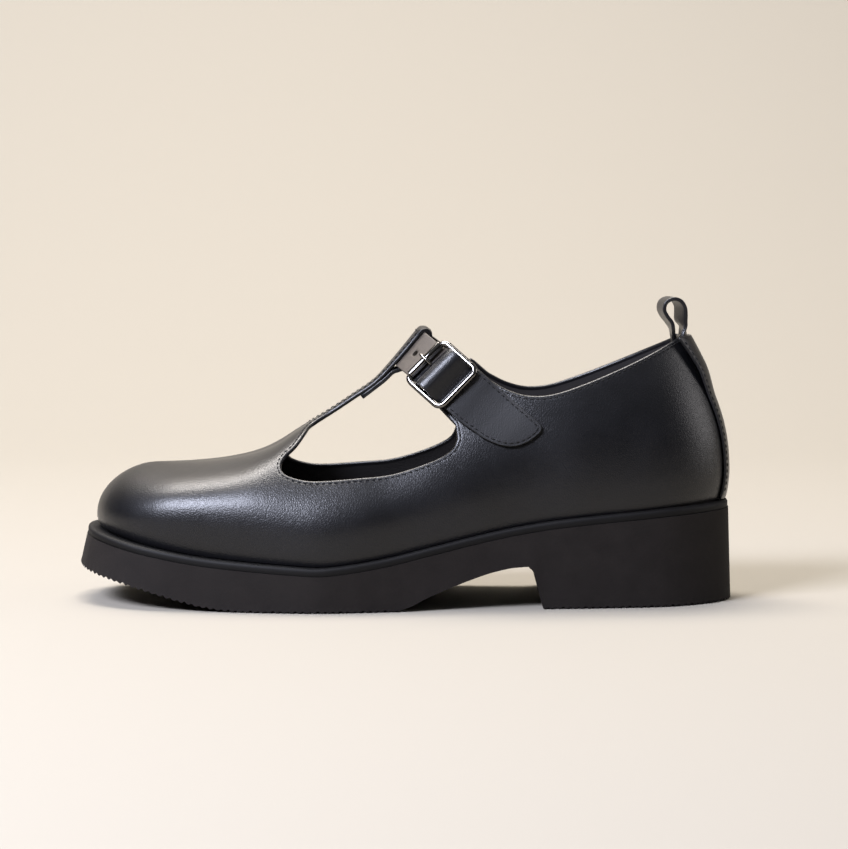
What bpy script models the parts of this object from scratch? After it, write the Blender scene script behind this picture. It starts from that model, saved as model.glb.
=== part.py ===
"""Left T-strap shoe on a one-piece moulded sole with a block heel.

The toe points to -X, the outer side of the foot to -Y and up is +Z. The origin is on the floor, under the
middle of the shoe. Sizes are in millimetres until a mesh is made, and meshes are in metres.
"""
import math

import bmesh
import bpy
from mathutils import Matrix, Vector
from mathutils.bvhtree import BVHTree

MM = 0.001

# Main sizes
UPPER_LENGTH = 259.0
BALL_WIDTH = 90.0
INSTEP_RISE = 80.0
HEEL_HEIGHT = 41.0
FOREFOOT_HEIGHT = 17.8
TOE_SPRING = 14.8
TOE_TOP_LIFT = 13.2
ARCH_HEIGHT = 17.0

# Leather and joints between pieces
WALL = 2.0
GAP = 0.3
FEATHER_TUCK = 2.2

# Sole
TOE_LEDGE = 3.9
TOE_SLANT = 2.8
HEEL_LEDGE = 1.1
HEEL_SLANT = 1.2
SIDE_SLANT = 0.8
WELT_THICKNESS = 3.4
WELT_CHAMFER = 0.8
INSOLE_THICKNESS = 3.0

# Toe cap and counter, as seen from the side
TOE_CAP_DEPTH = 26.0
TOE_CAP_LEAN = 0.0
COUNTER_DEPTH = 45.0
COUNTER_LEAN = 0.2

# T-bar and the loop at its end
T_BAR_WIDTH = 12.0
LOOP_LAYER = 1.7
LOOP_WIDTH = 14.0
LOOP_EASE = 0.45

# Ankle strap. It crosses the instep on a slope, and is measured across, down and along that slope.
STRAP_SLOPE = math.radians(50.0)
STRAP_PLACE = 0.499
STRAP_WIDTH = 18.0
STRAP_THICKNESS = 2.0
STRAP_HOLE_RADIUS = 1.3
SPARE_HOLE_PLACE = 12.6
STRAP_INNER_END = 36.0
STRAP_TIP = 2.4
EAR_END = 25.0
EAR_TOP = 12.3
EAR_BOTTOM = -9.0
EAR_CORNER = 7.0
COLLAR_CLEARANCE = 5.0
CUT_OUT_CORNER = 11.0

# Buckle
STRAP_CLEARANCE = 0.4
FRAME_WIRE = 2.6
FRAME_WIDTH = STRAP_WIDTH + 2 * (FRAME_WIRE + STRAP_CLEARANCE)
FRAME_LENGTH = 21.6
FRAME_THICKNESS = 1.8
FRAME_CORNER = 3.4
FRAME_EDGE_ROUND = 0.45
FRAME_REAR_DROP = 29.4
FRAME_TILT = math.radians(31.0)
ROLLER_BAR = 1.6
ROLLER_RADIUS = 1.7
ROLLER_BORE = 1.3
ROLLER_CLEARANCE = 0.6
ROLLER_LENGTH = FRAME_WIDTH - 2 * FRAME_WIRE - 2 * ROLLER_CLEARANCE
CENTRE_BAR_RADIUS = 0.8
PRONG_RADIUS = 0.65
PRONG_OVERHANG = 2.4

# Tab that holds the buckle, on the outer quarter
TAB_THICKNESS = 1.3
TAB_NECK_WIDTH = 17.0
TAB_SLOT_LENGTH = 6.4

# Back strip and pull loop
BACK_STRIP_WIDTH = 19.0
BACK_STRIP_THICKNESS = 1.2
PULL_WIDTH = 11.0
PULL_THICKNESS = 1.5
PULL_HEIGHT = 15.5
PULL_LEG = 7.0

SOLE_LENGTH = TOE_SLANT + TOE_LEDGE + UPPER_LENGTH + HEEL_LEDGE + HEEL_SLANT
UPPER_TOE = -SOLE_LENGTH / 2 + TOE_SLANT + TOE_LEDGE
UPPER_HEEL = UPPER_TOE + UPPER_LENGTH

# Plan: share of the length, middle and half width as shares of the ball width. The inner side is +.
PLAN = [
    {"at": 0.000, "middle": 0.050, "half": 0.000},
    {"at": 0.024, "middle": 0.046, "half": 0.232},
    {"at": 0.096, "middle": 0.030, "half": 0.398},
    {"at": 0.206, "middle": 0.010, "half": 0.466},
    {"at": 0.300, "middle": -0.010, "half": 0.494},
    {"at": 0.380, "middle": -0.032, "half": 0.490},
    {"at": 0.500, "middle": -0.048, "half": 0.424},
    {"at": 0.655, "middle": -0.026, "half": 0.380},
    {"at": 0.794, "middle": 0.000, "half": 0.372},
    {"at": 0.904, "middle": 0.000, "half": 0.318},
    {"at": 0.976, "middle": 0.000, "half": 0.176},
    {"at": 1.000, "middle": 0.000, "half": 0.000},
]

# Section: share of the length, height of the widest line above the sole, lean of the wall, breadth of the
# top and the sole's ledge. The height is a share of the instep rise, lean and breadth are shares of the
# half width, and the ledge is a share of the toe's ledge.
SECTIONS = [
    {"at": 0.00, "belly": 0.055, "lean": 0.05, "broad": 0.00, "ledge": 1.00},
    {"at": 0.12, "belly": 0.130, "lean": -0.05, "broad": 0.00, "ledge": 0.85},
    {"at": 0.25, "belly": 0.160, "lean": -0.03, "broad": 0.00, "ledge": 0.70},
    {"at": 0.35, "belly": 0.165, "lean": 0.10, "broad": 0.10, "ledge": 0.62},
    {"at": 0.50, "belly": 0.185, "lean": 0.20, "broad": 0.45, "ledge": 0.50},
    {"at": 0.62, "belly": 0.200, "lean": 0.22, "broad": 0.50, "ledge": 0.40},
    {"at": 0.75, "belly": 0.205, "lean": 0.16, "broad": 0.30, "ledge": 0.35},
    {"at": 0.88, "belly": 0.190, "lean": 0.16, "broad": 0.00, "ledge": 0.20},
    {"at": 1.00, "belly": 0.170, "lean": 0.20, "broad": 0.00, "ledge": 0.03},
]

# Ridge: share of the upper's length, height above the sole as a share of the instep rise, and its
# sideways place as a share of the ball width. Behind the strap the foot's opening cuts it away.
RIDGE = [
    {"at": 0.100, "rise": 0.392, "side": 0.037},
    {"at": 0.132, "rise": 0.411, "side": 0.032},
    {"at": 0.183, "rise": 0.443, "side": 0.022},
    {"at": 0.217, "rise": 0.467, "side": 0.014},
    {"at": 0.252, "rise": 0.501, "side": 0.006},
    {"at": 0.279, "rise": 0.540, "side": 0.000},
    {"at": 0.303, "rise": 0.590, "side": 0.000},
    {"at": 0.338, "rise": 0.677, "side": 0.000},
    {"at": 0.407, "rise": 0.810, "side": 0.000},
    {"at": 0.441, "rise": 0.872, "side": 0.000},
    {"at": 0.455, "rise": 0.912, "side": 0.000},
    {"at": 0.489, "rise": 1.019, "side": 0.000},
    {"at": 0.519, "rise": 1.115, "side": 0.000},
    {"at": 0.563, "rise": 1.240, "side": 0.000},
    {"at": 0.620, "rise": 1.330, "side": 0.000},
    {"at": 0.820, "rise": 1.290, "side": 0.000},
]

# Top line of the sole: share of the length, rise towards the heel and lift of the toe.
SOLE_TOP = [
    {"at": 0.000, "heel": 0.000, "toe": 1.000},
    {"at": 0.068, "heel": 0.000, "toe": 0.690},
    {"at": 0.123, "heel": 0.000, "toe": 0.480},
    {"at": 0.192, "heel": 0.000, "toe": 0.260},
    {"at": 0.261, "heel": 0.000, "toe": 0.130},
    {"at": 0.329, "heel": 0.000, "toe": 0.035},
    {"at": 0.380, "heel": 0.000, "toe": 0.000},
    {"at": 0.465, "heel": 0.130, "toe": 0.000},
    {"at": 0.541, "heel": 0.330, "toe": 0.000},
    {"at": 0.600, "heel": 0.490, "toe": 0.000},
    {"at": 0.667, "heel": 0.650, "toe": 0.000},
    {"at": 0.740, "heel": 0.775, "toe": 0.000},
    {"at": 0.888, "heel": 0.927, "toe": 0.000},
    {"at": 1.000, "heel": 1.000, "toe": 0.000},
]

# Tread line: share of the length, lift of the toe and of the arch. It drops down the heel's front face.
SOLE_BOTTOM = [
    {"at": 0.000, "toe": 1.000, "arch": 0.000},
    {"at": 0.030, "toe": 0.840, "arch": 0.000},
    {"at": 0.094, "toe": 0.570, "arch": 0.000},
    {"at": 0.158, "toe": 0.260, "arch": 0.000},
    {"at": 0.200, "toe": 0.090, "arch": 0.000},
    {"at": 0.240, "toe": 0.010, "arch": 0.000},
    {"at": 0.270, "toe": 0.000, "arch": 0.000},
    {"at": 0.480, "toe": 0.000, "arch": 0.000},
    {"at": 0.505, "toe": 0.000, "arch": 0.090},
    {"at": 0.535, "toe": 0.000, "arch": 0.320},
    {"at": 0.575, "toe": 0.000, "arch": 0.580},
    {"at": 0.624, "toe": 0.000, "arch": 0.850},
    {"at": 0.657, "toe": 0.000, "arch": 0.970},
    {"at": 0.678, "toe": 0.000, "arch": 1.000},
]
BREAST = [
    {"at": 0.6850, "arch": 0.980},
    {"at": 0.6910, "arch": 0.900},
    {"at": 0.6950, "arch": 0.720},
    {"at": 0.6990, "arch": 0.480},
    {"at": 0.7030, "arch": 0.200},
    {"at": 0.7070, "arch": 0.000},
]

# Edges seen from the side: share of the length and height above the sole as a share of the instep rise
COLLAR_EDGE = [
    {"at": 0.628, "rise": 0.756},
    {"at": 0.655, "rise": 0.690},
    {"at": 0.685, "rise": 0.645},
    {"at": 0.720, "rise": 0.633},
    {"at": 0.765, "rise": 0.662},
    {"at": 0.823, "rise": 0.722},
    {"at": 0.880, "rise": 0.793},
    {"at": 0.930, "rise": 0.866},
    {"at": 0.980, "rise": 0.945},
]
CUT_OUT_EDGE = [
    {"at": 0.357, "rise": 0.720},
    {"at": 0.329, "rise": 0.588},
    {"at": 0.312, "rise": 0.530},
    {"at": 0.307, "rise": 0.490},
    {"at": 0.312, "rise": 0.452},
    {"at": 0.330, "rise": 0.427},
    {"at": 0.365, "rise": 0.417},
    {"at": 0.428, "rise": 0.412},
    {"at": 0.480, "rise": 0.400},
    {"at": 0.530, "rise": 0.410},
    {"at": 0.560, "rise": 0.430},
    {"at": 0.575, "rise": 0.458},
    {"at": 0.581, "rise": 0.500},
]

# Tab outline: share of the tab's reach, and its lower and upper edge as shares of the frame's width
TAB_REACH = 63.5
TAB_EDGES = [
    {"at": 0.46, "low": -0.300, "high": 0.430},
    {"at": 0.52, "low": -0.325, "high": 0.475},
    {"at": 0.63, "low": -0.350, "high": 0.475},
    {"at": 0.75, "low": -0.317, "high": 0.472},
    {"at": 0.86, "low": -0.225, "high": 0.472},
    {"at": 0.93, "low": -0.090, "high": 0.472},
    {"at": 0.97, "low": 0.080, "high": 0.465},
    {"at": 0.99, "low": 0.220, "high": 0.440},
    {"at": 1.00, "low": 0.320, "high": 0.400},
]

# Outer edge of the pull loop's middle, from the inner leg over the top: forward of the collar's back edge
# and up from it, as shares of the loop's height, and how far the strip is turned there: its inner edge
# lies further forward by that share of its width.
PULL_SHAPE = [(-0.25, 0.13, 0.04), (-0.285, 0.32, 0.16), (-0.40, 0.475, 0.17), (-0.485, 0.66, 0.17),
              (-0.43, 0.85, 0.19), (-0.24, 0.943, 0.22), (-0.06, 0.895, 0.26), (0.055, 0.74, 0.30),
              (0.085, 0.55, 0.33), (0.08, 0.37, 0.31), (0.07, 0.21, 0.12)]

# Facets
UPPER_TURNS = 50
UPPER_ROWS = 13
TUCK_ROWS = 3
SOLE_TURNS = 46
GUIDE_TURNS = 120
GUIDE_ROWS = 40


def cubic(rows, key, column, at):
    """A smooth value between the rows of a table, where key is the column that runs along it."""
    if at <= rows[0][key]:
        return rows[0][column]
    if at >= rows[-1][key]:
        return rows[-1][column]
    last = len(rows) - 1
    i = next(k for k in range(last) if rows[k + 1][key] >= at)

    def slope(k):
        low, high = max(k - 1, 0), min(k + 1, last)
        return (rows[high][column] - rows[low][column]) / (rows[high][key] - rows[low][key])

    span = rows[i + 1][key] - rows[i][key]
    u = (at - rows[i][key]) / span
    start, end = rows[i][column], rows[i + 1][column]
    rise = end - start
    a = slope(i) * span - rise
    b = -slope(i + 1) * span + rise
    return start + rise * u + u * (1 - u) * ((1 - u) * a + u * b)


def turn_of(share):
    """The turn from toe to heel, 0 to 1, whose cosine spacing gives the outline round ends."""
    return math.acos(max(-1.0, min(1.0, 1 - 2 * share))) / math.pi


def share_of(turn):
    return (1 - math.cos(math.pi * turn)) / 2


PLAN_BY_TURN = [dict(row, turn=turn_of(row["at"])) for row in PLAN]


def plan(turn):
    """Sideways middle and half width of the upper's widest line."""
    middle = cubic(PLAN_BY_TURN, "turn", "middle", turn) * BALL_WIDTH
    half = cubic(PLAN_BY_TURN, "turn", "half", turn) * BALL_WIDTH
    return middle, half


def sole_share(x):
    return x / SOLE_LENGTH + 0.5


def sole_top(x):
    share = sole_share(x)
    heel = cubic(SOLE_TOP, "at", "heel", share) * (HEEL_HEIGHT - FOREFOOT_HEIGHT)
    return FOREFOOT_HEIGHT + heel + cubic(SOLE_TOP, "at", "toe", share) * TOE_TOP_LIFT


def sole_bottom(share):
    if share > BREAST[0]["at"]:
        return cubic(BREAST, "at", "arch", share) * ARCH_HEIGHT
    toe = cubic(SOLE_BOTTOM, "at", "toe", share) * TOE_SPRING
    return max(0.0, toe + cubic(SOLE_BOTTOM, "at", "arch", share) * ARCH_HEIGHT)


def section(share, column):
    return cubic(SECTIONS, "at", column, share)


def spread(angle, lean, broad=0.0):
    """Share of the half width at an angle from the widest line, 0, to the ridge, a right angle."""
    return math.cos(angle) * (1 + broad * math.sin(angle) ** 6) - lean * math.sin(2 * angle) ** 2


def upper_point(turn, angle, side):
    """A point on the upper's outside. Below the widest line the angle is negative and the wall tucks in."""
    share = share_of(turn)
    middle, half = plan(turn)
    if angle >= 0:
        front = UPPER_TOE + TOE_CAP_DEPTH * (1 - spread(angle, TOE_CAP_LEAN))
        back = UPPER_HEEL - COUNTER_DEPTH * (1 - spread(angle, COUNTER_LEAN))
        wide = half * spread(angle, section(share, "lean"), section(share, "broad"))
    else:
        inset = FEATHER_TUCK * (1 - math.cos(angle))
        front = UPPER_TOE + inset
        back = UPPER_HEEL - inset
        wide = max(0.0, half - inset * min(1.0, half / FEATHER_TUCK / 4))
    x = front + (back - front) * share
    floor = sole_top(x) + GAP
    belly = section(share, "belly") * INSTEP_RISE
    if angle < 0:
        return Vector((x, middle + side * wide, floor + belly * (1 + math.sin(angle) / FEATHER_SINE)))
    ridge_front = UPPER_TOE + TOE_CAP_DEPTH
    ridge_back = UPPER_HEEL - COUNTER_DEPTH
    ridge_x = ridge_front + (ridge_back - ridge_front) * share
    ridge_share = (ridge_x - UPPER_TOE) / UPPER_LENGTH
    ridge = sole_top(ridge_x) + cubic(RIDGE, "at", "rise", ridge_share) * INSTEP_RISE
    ridge_side = cubic(RIDGE, "at", "side", ridge_share) * BALL_WIDTH
    climb = math.sin(angle)
    low = floor + belly
    centre = middle + (ridge_side - middle) * climb
    return Vector((x, centre + side * wide, low + (ridge - low) * climb))


FEATHER_ANGLE = math.radians(75)
FEATHER_SINE = math.sin(FEATHER_ANGLE)


def upper_grid(turns, rows, tuck_rows):
    """Points and faces of the upper's outside: an open surface from the feather line over the ridge."""
    angles = [-FEATHER_ANGLE * (1 - k / tuck_rows) for k in range(tuck_rows)]
    angles += [math.pi / 2 * k / rows for k in range(rows + 1)]
    strip = [(-1, a) for a in angles] + [(1, a) for a in reversed(angles[:-1])]
    points, faces = [], []
    for i in range(turns + 1):
        points += [upper_point(i / turns, angle, side) for side, angle in strip]
    width = len(strip)
    for i in range(turns):
        for j in range(width - 1):
            a = i * width + j
            faces.append((a, a + width, a + width + 1, a + 1))
    return points, faces


def sole_outline(turn, level, side):
    """A point in plan on the sole's edge, where level is 0 at the tread and 1 at the top."""
    share = share_of(turn)
    middle, half = plan(turn)
    front = -SOLE_LENGTH / 2 + TOE_SLANT * level
    back = SOLE_LENGTH / 2 - HEEL_SLANT * level
    ledge = section(share, "ledge") * TOE_LEDGE + SIDE_SLANT * (1 - level)
    wide = half + ledge * min(1.0, half / TOE_LEDGE / 4)
    return front + (back - front) * share, middle + side * wide


EDGE_SIDES = [sole_outline(k / 200, 0, side)[1] for k in range(201) for side in (-1, 1)]
Y_MIDDLE = (min(EDGE_SIDES) + max(EDGE_SIDES)) / 2


def place(point):
    """From the upper's own millimetres to metres about the shoe's middle."""
    return (point[0] * MM, (point[1] - Y_MIDDLE) * MM, point[2] * MM)


def clear_scene():
    for item in list(bpy.data.objects):
        bpy.data.objects.remove(item, do_unlink=True)


def new_collection(name):
    collection = bpy.data.collections.new(name)
    bpy.context.scene.collection.children.link(collection)
    return collection


def material(name, colour, roughness, metallic=0.0):
    made = bpy.data.materials.new(name)
    made.use_nodes = True
    shader = made.node_tree.nodes["Principled BSDF"]
    shader.inputs["Base Color"].default_value = (*colour, 1.0)
    shader.inputs["Roughness"].default_value = roughness
    shader.inputs["Metallic"].default_value = metallic
    return made


def solid(name, points, faces, finish, collection):
    """A mesh object from points in millimetres. Points that meet are merged, and faces face outwards."""
    mesh = bpy.data.meshes.new(name)
    bm = bmesh.new()
    corners = [bm.verts.new(place(p)) for p in points]
    for face in faces:
        bm.faces.new([corners[k] for k in face])
    bmesh.ops.remove_doubles(bm, verts=bm.verts, dist=0.002 * MM)
    if not any(edge.is_boundary for edge in bm.edges):
        bmesh.ops.recalc_face_normals(bm, faces=bm.faces)
    bm.to_mesh(mesh)
    bm.free()
    item = bpy.data.objects.new(name, mesh)
    if finish:
        mesh.materials.append(finish)
    collection.objects.link(item)
    return item


def as_cutter(item):
    item.hide_render = True
    item.display_type = "WIRE"
    return item


def cut(item, cutter, operation="DIFFERENCE"):
    boolean = item.modifiers.new(cutter.name, "BOOLEAN")
    boolean.operation = operation
    boolean.object = cutter
    boolean.solver = "EXACT"


def prism(name, outline, low, high, collection):
    """An outline in the side view, run across the shoe from low to high."""
    count = len(outline)
    points = [(x, low, z) for x, z in outline] + [(x, high, z) for x, z in outline]
    faces = [tuple(range(count)), tuple(range(2 * count - 1, count - 1, -1))]
    faces += [(k, (k + 1) % count, (k + 1) % count + count, k + count) for k in range(count)]
    return solid(name, points, faces, None, collection)


def through(points, steps):
    """A smooth line through points, as a Catmull-Rom curve with some steps between each two."""
    vectors = [Vector(p) for p in points]
    first = vectors[0] * 2 - vectors[1]
    final = vectors[-1] * 2 - vectors[-2]
    chain = [first, *vectors, final]
    line = []
    for i in range(1, len(chain) - 2):
        a, b, c, d = chain[i - 1:i + 3]
        for k in range(steps):
            u = k / steps
            line.append(0.5 * (2 * b + (c - a) * u + (2 * a - 5 * b + 4 * c - d) * u ** 2
                               + (3 * b - a - 3 * c + d) * u ** 3))
    line.append(vectors[-1])
    return line


def sheet(name, grid, thickness, finish, collection):
    """A closed solid of a thickness about a grid of (point, normal) pairs, rows by columns."""
    rows, columns = len(grid), len(grid[0])
    points = []
    for offset in (-thickness / 2, thickness / 2):
        points += [point + normal * offset for line in grid for point, normal in line]
    layer = rows * columns
    faces = []
    for i in range(rows - 1):
        for j in range(columns - 1):
            a = i * columns + j
            below = (a, a + 1, a + columns + 1, a + columns)
            faces.append(below)
            faces.append(tuple(layer + k for k in reversed(below)))
    rim = [j for j in range(columns)]
    rim += [i * columns + columns - 1 for i in range(1, rows)]
    rim += [(rows - 1) * columns + j for j in range(columns - 2, -1, -1)]
    rim += [i * columns for i in range(rows - 2, 0, -1)]
    for k, a in enumerate(rim):
        b = rim[(k + 1) % len(rim)]
        faces.append((a, b, b + layer, a + layer))
    return solid(name, points, faces, finish, collection)


# The slope on which the strap lies: its zero is on the ridge, down leads to the rear, along leads up.
SLOPE_X = -SOLE_LENGTH / 2 + SOLE_LENGTH * STRAP_PLACE
SLOPE_DOWN = Vector((math.sin(STRAP_SLOPE), 0, -math.cos(STRAP_SLOPE)))
SLOPE_ALONG = Vector((math.cos(STRAP_SLOPE), 0, math.sin(STRAP_SLOPE)))


def ridge_height(x):
    share = (x - UPPER_TOE) / UPPER_LENGTH
    return sole_top(x) + cubic(RIDGE, "at", "rise", share) * INSTEP_RISE


SLOPE_ZERO = Vector((SLOPE_X, 0, ridge_height(SLOPE_X)))


def slope_point(side, down, along):
    return SLOPE_ZERO + Vector((0, side, 0)) + SLOPE_DOWN * down + SLOPE_ALONG * along


def side_view(down, along):
    point = slope_point(0, down, along)
    return point.x, point.z


def edge_line(rows):
    """The points of an edge table in the side view."""
    line = []
    for row in rows:
        x = (row["at"] - 0.5) * SOLE_LENGTH
        line.append((x, 0, sole_top(x) + row["rise"] * INSTEP_RISE))
    return [(p.x, p.z) for p in through(line, 4)]


class Guide:
    """The upper's outer surface without its openings, to lay strap, tab and back strip on."""

    def __init__(self):
        points, faces = upper_grid(GUIDE_TURNS, GUIDE_ROWS, 6)
        self.tree = BVHTree.FromPolygons(points, faces)

    def hit(self, origin, direction, away):
        """Where a ray from inside meets the surface, with the normal that points away from the foot."""
        point, normal, _, _ = self.tree.ray_cast(origin, direction)
        if normal.dot(away) < 0:
            normal = -normal
        return point, normal

    def around(self, angle, along, lift):
        """A point at an angle about the strap's axis, 0 on the ridge and minus on the outer side."""
        origin = slope_point(0, STRAP_AXIS_DROP, along)
        hits = []
        for a in (angle - 0.08, angle, angle + 0.08):
            direction = Vector((0, math.sin(a), 0)) - SLOPE_DOWN * math.cos(a)
            hits.append(self.hit(origin, direction, direction))
        normal = (hits[0][1] + hits[1][1] + hits[2][1]).normalized()
        return hits[1][0] + normal * lift, normal

    def beside(self, down, along, side, lift):
        """A point on one side's wall, found straight across the shoe."""
        origin = slope_point(0, down, along)
        point, normal = self.hit(origin, Vector((0, side, 0)), Vector((0, side, 0)))
        return point + normal * lift, normal

    def behind(self, side, height, lift):
        origin = Vector((UPPER_HEEL - COUNTER_DEPTH, side, height))
        point, normal = self.hit(origin, Vector((1, 0, 0)), Vector((1, 0, 0)))
        return point + normal * lift, normal


STRAP_AXIS_DROP = 40.0


class Buckle:
    """The buckle's own axes: length runs from the roller to the rear bar, width across, up off the foot."""

    def __init__(self, guide):
        seat = guide.beside(FRAME_REAR_DROP, 0, -1, 0)[0]
        lean = guide.beside(FRAME_REAR_DROP, FRAME_WIDTH / 3, -1, 0)[0] - seat
        self.length = Vector((0, -math.sin(FRAME_TILT), 0)) + SLOPE_DOWN * math.cos(FRAME_TILT)
        self.width = (lean - self.length * lean.dot(self.length)).normalized()
        self.up = self.width.cross(self.length).normalized()
        if self.up.y > 0:
            self.up = -self.up
        stack = TAB_THICKNESS + STRAP_THICKNESS + 6 * GAP + FRAME_THICKNESS / 2
        self.rear = (FRAME_LENGTH - FRAME_WIRE) / 2
        self.centre = seat + self.up * stack - self.length * self.rear

    def at(self, length, width, up):
        return self.centre + self.length * length + self.width * width + self.up * up


def make_outsole(finish, collection):
    """Forefoot, arch and heel in one moulding: its edge from tread to top, closed above and below."""
    turns = [k / SOLE_TURNS for k in range(SOLE_TURNS + 1)]
    low, high = turn_of(BREAST[0]["at"]), turn_of(BREAST[-1]["at"])
    turns = [t for t in turns if not low - 0.006 < t < high + 0.006]
    turns = sorted(turns + [turn_of(row["at"]) for row in BREAST])
    rings = []
    for turn in turns:
        ring = []
        for side, level in ((-1, 0), (-1, 1), (1, 1), (1, 0)):
            x, y = sole_outline(turn, level, side)
            if level:
                z = sole_top(x) - WELT_THICKNESS - GAP
            else:
                z = sole_bottom(share_of(turn))
            ring.append((x, y, z))
        rings.append(ring)
    return tube("outsole", rings, finish, collection)


def tube(name, rings, finish, collection):
    """A closed solid from rings of equal count. End rings that close to a line keep no faces of their own."""
    count = len(rings[0])
    points = [p for ring in rings for p in ring]
    mesh = bpy.data.meshes.new(name)
    bm = bmesh.new()
    corners = [bm.verts.new(place(p)) for p in points]
    for i in range(len(rings) - 1):
        for j in range(count):
            a, b = i * count + j, i * count + (j + 1) % count
            bm.faces.new([corners[k] for k in (a, b, b + count, a + count)])
    bm.faces.new([corners[k] for k in range(count)])
    bm.faces.new([corners[len(points) - 1 - k] for k in range(count)])
    bmesh.ops.remove_doubles(bm, verts=bm.verts, dist=0.002 * MM)
    bmesh.ops.recalc_face_normals(bm, faces=bm.faces)
    bm.to_mesh(mesh)
    bm.free()
    item = bpy.data.objects.new(name, mesh)
    mesh.materials.append(finish)
    collection.objects.link(item)
    return item


def make_welt(finish, collection):
    """The band on top of the sole, with the small chamfer of its upper edge."""
    rings = []
    for k in range(SOLE_TURNS + 1):
        turn = k / SOLE_TURNS
        ring = []
        for side, drop, inset in ((-1, WELT_THICKNESS, 0), (-1, WELT_CHAMFER, 0), (-1, 0, WELT_CHAMFER),
                                  (1, 0, WELT_CHAMFER), (1, WELT_CHAMFER, 0), (1, WELT_THICKNESS, 0)):
            x, y = sole_outline(turn, 1, side)
            middle, half = plan(turn)
            x -= inset * math.cos(math.pi * (1 - turn))
            y = middle + (y - middle) * (1 - inset / max(half, 4 * inset + 1))
            ring.append((x, y, sole_top(x) - drop))
        rings.append(ring)
    return tube("welt", rings, finish, collection)


def make_insole(finish, collection):
    """The board that closes the inside, clear of the upper's wall."""
    inset = FEATHER_TUCK * (1 - math.cos(FEATHER_ANGLE)) + WALL + 2 * GAP
    front, back = UPPER_TOE + inset, UPPER_HEEL - inset
    rings = []
    for k in range(1, SOLE_TURNS):
        turn = k / SOLE_TURNS
        x = front + (back - front) * share_of(turn)
        middle, half = plan(turn)
        wide = half - inset * min(1.0, half / FEATHER_TUCK / 4)
        low = sole_top(x) + GAP
        ring = [(x, middle - wide, low), (x, middle - wide, low + INSOLE_THICKNESS),
                (x, middle + wide, low + INSOLE_THICKNESS), (x, middle + wide, low)]
        rings.append(ring)
    return tube("insole", rings, finish, collection)


def make_upper(finish, collection, cutters):
    """Vamp, quarters and T-bar as one shell: the last's surface given its wall, then cut open."""
    points, faces = upper_grid(UPPER_TURNS, UPPER_ROWS, TUCK_ROWS)
    upper = solid("upper", points, faces, finish, collection)
    wall = upper.modifiers.new("wall", "SOLIDIFY")
    wall.thickness = WALL * MM
    wall.offset = -1
    wall.use_even_offset = True
    far = SOLE_LENGTH
    collar = [side_view(-far, -STRAP_WIDTH / 2 - COLLAR_CLEARANCE),
              side_view(EAR_END - EAR_CORNER, -STRAP_WIDTH / 2 - COLLAR_CLEARANCE)]
    collar += [side_view(EAR_END - EAR_CORNER, 0), side_view(EAR_END, EAR_TOP / 2), side_view(EAR_END, EAR_TOP)]
    collar += edge_line(COLLAR_EDGE)
    collar += [(far, far), (-far / 2, far)]
    cut(upper, as_cutter(prism("collar_cutter", collar, -far / 2, far / 2, cutters)))
    opening = edge_line(CUT_OUT_EDGE)
    opening += [side_view(EAR_END + CUT_OUT_CORNER, EAR_BOTTOM - 1), side_view(EAR_END, EAR_BOTTOM)]
    opening += [side_view(EAR_END, EAR_TOP / 2 + 1), side_view(-far / 2, EAR_TOP / 2 + 1)]
    for name, low, high in (("outer_opening", -far / 2, -T_BAR_WIDTH / 2),
                            ("inner_opening", T_BAR_WIDTH / 2, far / 2)):
        cut(upper, as_cutter(prism(name, opening, low, high, cutters)))
    return upper


def make_t_loop(guide, finish, cutters):
    """The T-bar's end, folded over the strap and back under it, sewn to itself."""
    outer = LOOP_LAYER / 2
    strap = LOOP_LAYER + STRAP_THICKNESS + 2 * LOOP_EASE
    half = STRAP_WIDTH / 2
    turn_radius = strap / 2
    path = [(outer + GAP, -half - 8), (outer + GAP, -half - 6), (outer, -half - 3), (outer, 0), (outer, half - 3)]
    bend = [(outer + turn_radius * (1 - math.cos(a)), half - GAP / 2 + turn_radius * math.sin(a))
            for a in [math.pi * k / 6 for k in range(7)]]
    back = [(outer + strap, half - 3), (outer + strap, 0), (outer + strap, -half),
            (outer + strap - 0.6, -half - 4), (outer + strap - 1.6, -half - 8), (outer + GAP, -half - 13)]
    line = through([(d, a, 0) for d, a in path + bend + back], 2)
    columns = 5
    grid = []
    for k, point in enumerate(line):
        before, after = line[max(k - 1, 0)], line[min(k + 1, len(line) - 1)]
        way = (after - before).normalized()
        along = min(point.y, half)
        row = []
        for j in range(columns):
            y = LOOP_WIDTH * (j / (columns - 1) - 0.5)
            seat, out = guide.around(math.atan2(y, STRAP_AXIS_DROP), along, 0)
            spot = seat - out * point.x + SLOPE_ALONG * (point.y - along)
            row.append((spot, -out * way.y - SLOPE_ALONG * way.x))
        grid.append(row)
    return as_cutter(sheet("t_loop", grid, LOOP_LAYER, finish, cutters))


def across(low, high, columns):
    """Points straight across a strap, from its lower edge to its upper one."""
    return [low.lerp(high, j / (columns - 1)) for j in range(columns)]


def skin(keys, steps):
    """A grid of (point, normal) pairs, smooth along the key lines, which each run across a strap."""
    columns = len(keys[0])
    lines = [through([key[j] for key in keys], steps) for j in range(columns)]
    rows = len(lines[0])
    grid = []
    for i in range(rows):
        before, after = max(i - 1, 0), min(i + 1, rows - 1)
        row = []
        for j in range(columns):
            left, right = max(j - 1, 0), min(j + 1, columns - 1)
            way = lines[j][after] - lines[j][before]
            side = lines[right][i] - lines[left][i]
            row.append((lines[j][i], side.cross(way).normalized()))
        grid.append(row)
    return grid


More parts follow.
